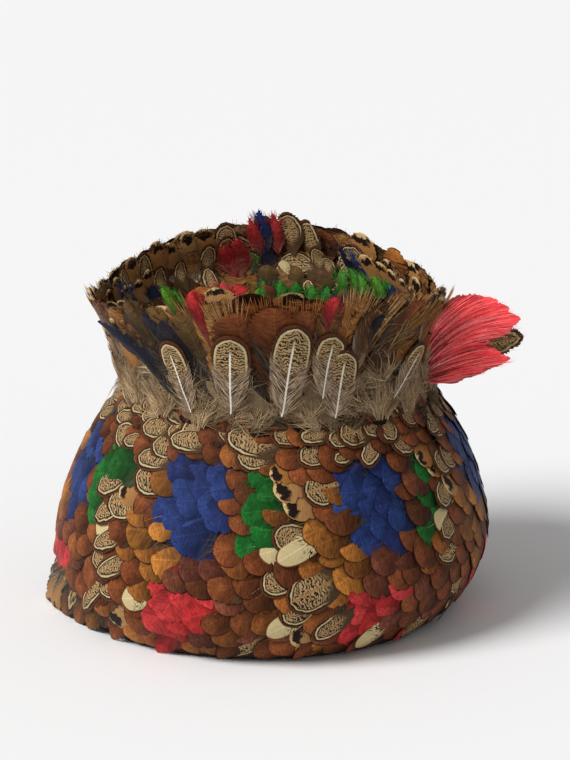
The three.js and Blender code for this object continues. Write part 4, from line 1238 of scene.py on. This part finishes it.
class HAT_OT_down(bpy.types.Operator):
    """Wrap the waist in fluff with loose strands"""

    bl_idname = "feather_hat.down"
    bl_label = "Down"

    def execute(self, context):
        dice = np.random.default_rng(15)
        sizes = context.scene.feather_sizes
        plumage = Plumage()
        self.add_tufts(plumage, dice)
        cover = fluff("waist_fluff", colour_of("down"), colour_of("wisp"))
        plumage.build("down_tufts", cover, ["waist_down"])
        plumage = Plumage()
        self.add_wisps(plumage, sizes.clump_count, sizes.strand_length / METRES, dice)
        self.add_shaft_fluff(plumage, dice)
        self.add_pale_fluff(plumage, dice)
        plumage.build("down_wisps", cover, ["waist_down"])
        return {"FINISHED"}

    def add_tufts(self, plumage, dice):
        """A closed ring whose section is a thin bag, swelled by a sum of cosines round and across it."""
        around, across = 260, 36
        angle = np.arange(around)[:, None] * 2 * math.pi / around
        share = np.arange(across)[None, :] / across * 2 * math.pi
        climb = 21 - 17 * np.cos(share)
        swell = np.zeros((around, across))
        for wave in range(26):
            turns, cross = dice.integers(3, 60), dice.uniform(0.5, 5)
            swell = swell + np.cos(turns * angle + cross * climb / 8 + dice.uniform(0, 6)) / 26**0.5
        outer = np.maximum(np.sin(share), 0) ** 0.5
        lift = 0.4 + outer * (4.2 + 1.1 * swell)
        points = RUFF.place(angle + 0 * climb, climb + 2.5 * swell * outer, lift).reshape(1, -1, 3)
        grid = np.arange(around * across).reshape(around, across)
        right, up, both = np.roll(grid, -1, 0), np.roll(grid, -1, 1), np.roll(np.roll(grid, -1, 0), -1, 1)
        faces = np.concatenate([np.stack([c.ravel() for c in part], -1) for part in ((grid, right, both), (grid, both, up))])
        lie = np.full((grid.size, 2), 0.5)
        plumage.add(points, faces, lie, 4.0, np.array([0.25]))

    def add_wisps(self, plumage, clumps, length, dice):
        """Each strand leaves its clump's foot within a fan about the clump's heading, and bends outwards by the
        square of its share."""
        each = 26
        count = clumps * each
        pick = np.repeat(np.arange(clumps), each)
        angle = dice.uniform(0, 2 * math.pi, clumps)[pick] + dice.normal(0, 0.012, count)
        climb = dice.uniform(3, 34, clumps)[pick] + dice.normal(0, 1, count)
        fan = dice.normal(0, 0.55, count)
        heading = dice.normal(math.pi / 2, 1.0, clumps)[pick] + fan
        reach = length * dice.uniform(0.35, 1.1, count)[:, None]
        bend = (fan * 0.5 + dice.normal(0, 0.35, count))[:, None]
        rings = np.linspace(0, 1, 6)[None, :]
        curl = dice.uniform(0.5, 3.5, count)[:, None]
        lift = 2.8 + curl * np.sin(rings * dice.uniform(1.2, 3, count)[:, None])
        path = Barbs(reach * (rings - 0.25 * bend**2 * rings**2), reach * bend * rings**2, lift)
        tint = np.clip(dice.random(clumps)[pick] + dice.normal(0, 0.12, count), 0, 1)
        places = places_of(angle, climb, heading, 1, 0.8, tint)
        plumage.add_strands(RUFF.lay(places, path), dice.uniform(0.14, 0.28, count), places["tint"])

    def add_pale_fluff(self, plumage, dice):
        """Tan fluff at both ends of the front, whose strands rise side by side and part by the square of their
        share."""
        for azimuth, climb, lean, width, count in PALE_FLUFF:
            share = dice.uniform(-1, 1, (count, 1))
            rings = np.linspace(0, 1, 6)[None, :]
            reach = dice.uniform(9, 24, (count, 1)) * (1 - 0.3 * share**2)
            across = share * width * (0.4 + 0.6 * rings) + reach * dice.normal(0, 0.25, (count, 1)) * rings**2
            high = 2.5 + 2.5 * dice.random((count, 1)) * np.sin(rings * math.pi * 0.7)
            places = places_of([math.radians(azimuth - 90)] * count, climb + dice.uniform(-4, 6, count),
                               math.radians(90 - lean), 1, 2.6, dice.uniform(0.35, 1, count))
            plumage.add_strands(RUFF.lay(places, Barbs(reach * rings, across, high)),
                                dice.uniform(0.1, 0.22, count), places["tint"])

    def add_shaft_fluff(self, plumage, dice):
        """Pale fluff that leaves the lower half of each shaft feather's shaft to both sides and bends forward."""
        each = 60
        rings = np.linspace(0, 1, 6)[None, :]
        for azimuth, climb, lean, length, width in SHAFT_FEATHERS:
            side = np.where(dice.random((each, 1)) < 0.5, -1, 1)
            start = -length * dice.uniform(0.5, 0.97, (each, 1))
            reach = width * dice.uniform(0.35, 0.75, (each, 1))
            turn = dice.normal(0.7, 0.25, (each, 1))
            along = start + reach * (rings * np.sin(turn) + 0.3 * rings**2)
            across = side * reach * rings * np.cos(turn)
            high = 0.8 + 1.5 * rings * dice.random((each, 1))
            places = places_of([math.radians(azimuth - 90)] * each, climb, math.radians(90 - lean), 1, 6.6,
                               dice.uniform(0.6, 1, each))
            plumage.add_strands(RUFF.lay(places, Barbs(along, across, high)), dice.uniform(0.1, 0.2, each), places["tint"])


# Upright feathers with white shafts: azimuth of the tip from the front, climb of the tip, lean, length, width.
SHAFT_FEATHERS = [
    (-35, 57, -8, 46, 17),
    (-12, 60, 8, 46, 20),
    (9, 66, 12, 54, 22),
    (25, 51, 14, 42, 19),
    (21, 61, 14, 38, 17),
    (60, 50, 38, 40, 15),
]


class HAT_OT_shafts(bpy.types.Operator):
    """Lay the upright feathers with white shafts over the front"""

    bl_idname = "feather_hat.shafts"
    bl_label = "Shaft feathers"

    def execute(self, context):
        dice = np.random.default_rng(16)
        plumage = Plumage()
        for azimuth, climb, lean, length, width in SHAFT_FEATHERS:
            form = {**FORMS["shaft"], "length": length, "width": width}
            places = places_of([math.radians(azimuth - 90)], climb, math.radians(90 - lean), 1, 6.6, dice.uniform(0, 0.4))
            plumage.add_feathers(RUFF, form, places, dice)
        nodes = [f"shaft_feather_{number}" for number in range(1, 6)]
        plumage.build("shaft_feathers", finishes()["shaft"], nodes)
        return {"FINISHED"}


# Blue hackles: azimuth and climb of the tip, lean to the left, length and width.
BLUE_HACKLES = [
    (-69, 67, -62, 60, 15), (-61, 60, -56, 54, 14), (-53, 54, -48, 42, 11),
]


class HAT_OT_hackles(bpy.types.Operator):
    """Lay the dark blue hackles at the left of the ruff"""

    bl_idname = "feather_hat.hackles"
    bl_label = "Blue hackles"

    def execute(self, context):
        dice = np.random.default_rng(17)
        plumage = Plumage()
        for azimuth, climb, lean, length, width in BLUE_HACKLES:
            form = {**FORMS["hackle"], "length": length, "width": width}
            places = places_of([math.radians(azimuth - 90)], climb, math.radians(90 - lean), 1, 6.2, dice.uniform(0, 0.5))
            plumage.add_feathers(RUFF, form, places, dice)
        plumage.build("blue_hackles", finishes()["navy"], ["blue_hackle_1", "blue_hackle_2"])
        return {"FINISHED"}


# Feathers of the red pads in millimetres: root across and up, tip across and up, width, and bow to the upper side.
PAD_FEATHERS = [
    (75, 148, 97, 170, 13, 3),
    (75, 147, 105, 172.5, 15, 4),
    (75, 145, 112, 171, 16, 5),
    (75, 143, 118, 167, 16, 5.5),
    (75, 140, 124, 161.5, 15, 6),
    (75, 137, 119, 156, 14, 5.5),
    (75, 134, 108, 150, 14, 4.5),
    (75, 132, 114, 143, 11, 3),
    (75, 130.5, 119, 140.5, 10, 1.5),
    (75, 129, 110, 137, 9, 0.5),
    (75, 128, 97, 133, 8, 0),
]
PAD_BANDED = (86, 146, 126, 151, 17, 0)


class HAT_OT_pads(bpy.types.Operator):
    """Build the red pads that stand out at the right"""

    bl_idname = "feather_hat.pads"
    bl_label = "Red pads"

    def execute(self, context):
        dice = np.random.default_rng(18)
        plumage = Plumage()
        for order, sizes in enumerate(PAD_FEATHERS):
            self.add_blade(plumage, sizes, order, dice)
        plumage.build("red_pads", finishes()["pad"], ["red_pad_1", "red_pad_2"])
        plumage = Plumage()
        self.add_blade(plumage, PAD_BANDED, -3, dice)
        plumage.build("pad_barred", finishes()["speckled"], ["red_pad_1"])
        return {"FINISHED"}

    def add_blade(self, plumage, sizes, order, dice):
        """One feather of a pad in the pad's own plane, and its loose barbs. Each is laid a little further out
        than the one before, and bows up by the sine of its share."""
        low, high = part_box("red_pad_1")
        depth = (low.y + high.y) / 2 / METRES
        root_x, root_z, tip_x, tip_z, width, bow = sizes
        root = np.array([root_x, depth - 0.35 * order, root_z])
        ahead = np.array([tip_x, depth - 0.35 * order, tip_z]) - root
        length = np.linalg.norm(ahead)
        ahead /= length
        up = np.cross([0, -1.0, 0], ahead)
        form = {**FORMS["dyed"], "length": length, "width": width, "barbs": 40, "rake": 0.65, "tilt": 0,
                "rise": 0, "blunt": 3, "rare": 1.5, "bend": 1, "arch": 1.2}
        vanes = Vanes(form, np.ones(1), dice)
        tint = dice.uniform(0.1, 0.7, 1)

        def lay(along, across, high):
            share = np.clip(1 + along / length, 0, 1.1)
            swell = np.sin(np.minimum(share, 1) * math.pi)
            points = (along + length)[..., None] * ahead + (across + bow * 4 * share * (1 - share))[..., None] * up
            return root + points + (high + 2.5 * swell)[..., None] * np.array([0, -1.0, 0])

        plumage.add(lay(vanes.along, vanes.across, vanes.high) * METRES, vanes.faces, vanes.lie, vanes.rim, tint)
        count = 70
        share = dice.uniform(-1, 1, (count, 1))
        rings = np.linspace(0, 1, 8)[None, :]
        reach = length * dice.uniform(0.25, 0.7, (count, 1))
        stop = dice.uniform(-0.35, 0.06, (count, 1)) * length
        along = stop - reach * (1 - rings) - 5 * np.abs(share) ** 3
        across = share * width * 0.42 * np.clip(1 + along / length, 0, 1) ** 0.6
        paths = lay(along, across, 1.0 + 1.2 * rings * dice.random((count, 1))) * METRES
        plumage.add_strands(paths, dice.uniform(0.1, 0.22, count), dice.uniform(0.4, 1, count))


class HAT_OT_stage(bpy.types.Operator):
    """Set the floor, the lights and the camera"""

    bl_idname = "feather_hat.stage"
    bl_label = "Stage"

    def execute(self, context):
        scene = context.scene
        self.add_floor(scene)
        self.add_sun(scene)
        self.add_camera(scene)
        world = bpy.data.worlds.new("studio")
        world.use_nodes = True
        world.node_tree.nodes["Background"].inputs["Color"].default_value = (1, 1, 1, 1)
        world.node_tree.nodes["Background"].inputs["Strength"].default_value = 0.34
        scene.world = world
        scene.view_settings.view_transform = "Standard"
        return {"FINISHED"}

    def add_floor(self, scene):
        size = 9.0
        mesh = bpy.data.meshes.new("floor")
        corners = [(-size, -size, 0), (size, -size, 0), (size, size, 0), (-size, size, 0)]
        mesh.from_pydata(corners, [], [(0, 1, 2, 3)])
        finish = Finish("floor_paper")
        place = finish.node("ShaderNodeTexCoord", output="Object")
        grain = finish.noise(place, 400, 2)
        colour = finish.scaled((0.96, 0.96, 0.96, 1), grain * 0.02 + 0.99)
        mesh.materials.append(finish.close(colour, 0.9, finish.bump(grain, 0.02, 0.0001), sheen=0, shine=0.1))
        floor = bpy.data.objects.new("floor", mesh)
        scene.collection.objects.link(floor)

    def add_sun(self, scene):
        """One wide light from the upper left of the front, the same all over the floor."""
        lamp = bpy.data.lights.new("key", "SUN")
        lamp.angle = math.radians(28)
        lamp.energy = 2.85
        held = bpy.data.objects.new("key", lamp)
        held.location = (-1.25, -0.65, 1.35)
        held.rotation_mode = "QUATERNION"
        held.rotation_quaternion = Vector(held.location).to_track_quat("Z", "Y")
        scene.collection.objects.link(held)

    def add_camera(self, scene):
        """The camera looks along +Y at a point on the hat, and its lens keeps the photo's scale."""
        sizes = scene.feather_sizes
        scale_mm, frame_height, sensor = 0.5345, 760, 36
        target = Vector((0.0012, 0, 0.12))
        rise = sizes.camera_height
        back = Vector((0, -math.cos(rise), math.sin(rise)))
        lens = bpy.data.cameras.new("photo_camera")
        lens.sensor_width = sensor
        lens.lens = sensor * sizes.camera_distance / METRES / scale_mm / frame_height
        lens.clip_end = 50
        camera = bpy.data.objects.new("photo_camera", lens)
        camera.rotation_mode = "QUATERNION"
        camera.location = target + back * sizes.camera_distance
        camera.rotation_quaternion = (-back).to_track_quat("-Z", "Y")
        scene.collection.objects.link(camera)
        scene.camera = camera


class HAT_PT_panel(bpy.types.Panel):
    """The hat's pieces, sizes and colours"""

    bl_idname = "HAT_PT_panel"
    bl_label = "Feather Hat"
    bl_space_type = "VIEW_3D"
    bl_region_type = "UI"
    bl_category = "Feather Hat"

    def draw(self, context):
        for operator in OPERATORS:
            self.layout.operator(operator.bl_idname)
        for group in (context.scene.feather_sizes, context.scene.feather_colours):
            for name in group.bl_rna.properties.keys():
                if name not in ("rna_type", "name"):
                    self.layout.prop(group, name)


OPERATORS = (
    HAT_OT_felt, HAT_OT_bubble, HAT_OT_front, HAT_OT_ruff, HAT_OT_bowl, HAT_OT_down, HAT_OT_shafts,
    HAT_OT_hackles, HAT_OT_pads, HAT_OT_stage,
)
CLASSES = (FeatherColours, FeatherSizes, *OPERATORS, HAT_PT_panel)


def register():
    for known in CLASSES:
        bpy.utils.register_class(known)
    bpy.types.Scene.feather_colours = bpy.props.PointerProperty(type=FeatherColours)
    bpy.types.Scene.feather_sizes = bpy.props.PointerProperty(type=FeatherSizes)


def unregister():
    del bpy.types.Scene.feather_sizes
    del bpy.types.Scene.feather_colours
    for known in reversed(CLASSES):
        bpy.utils.unregister_class(known)


def main():
    register()
    for operator in OPERATORS:
        group, name = operator.bl_idname.split(".")
        getattr(getattr(bpy.ops, group), name)()


if __name__ == "__main__":
    main()
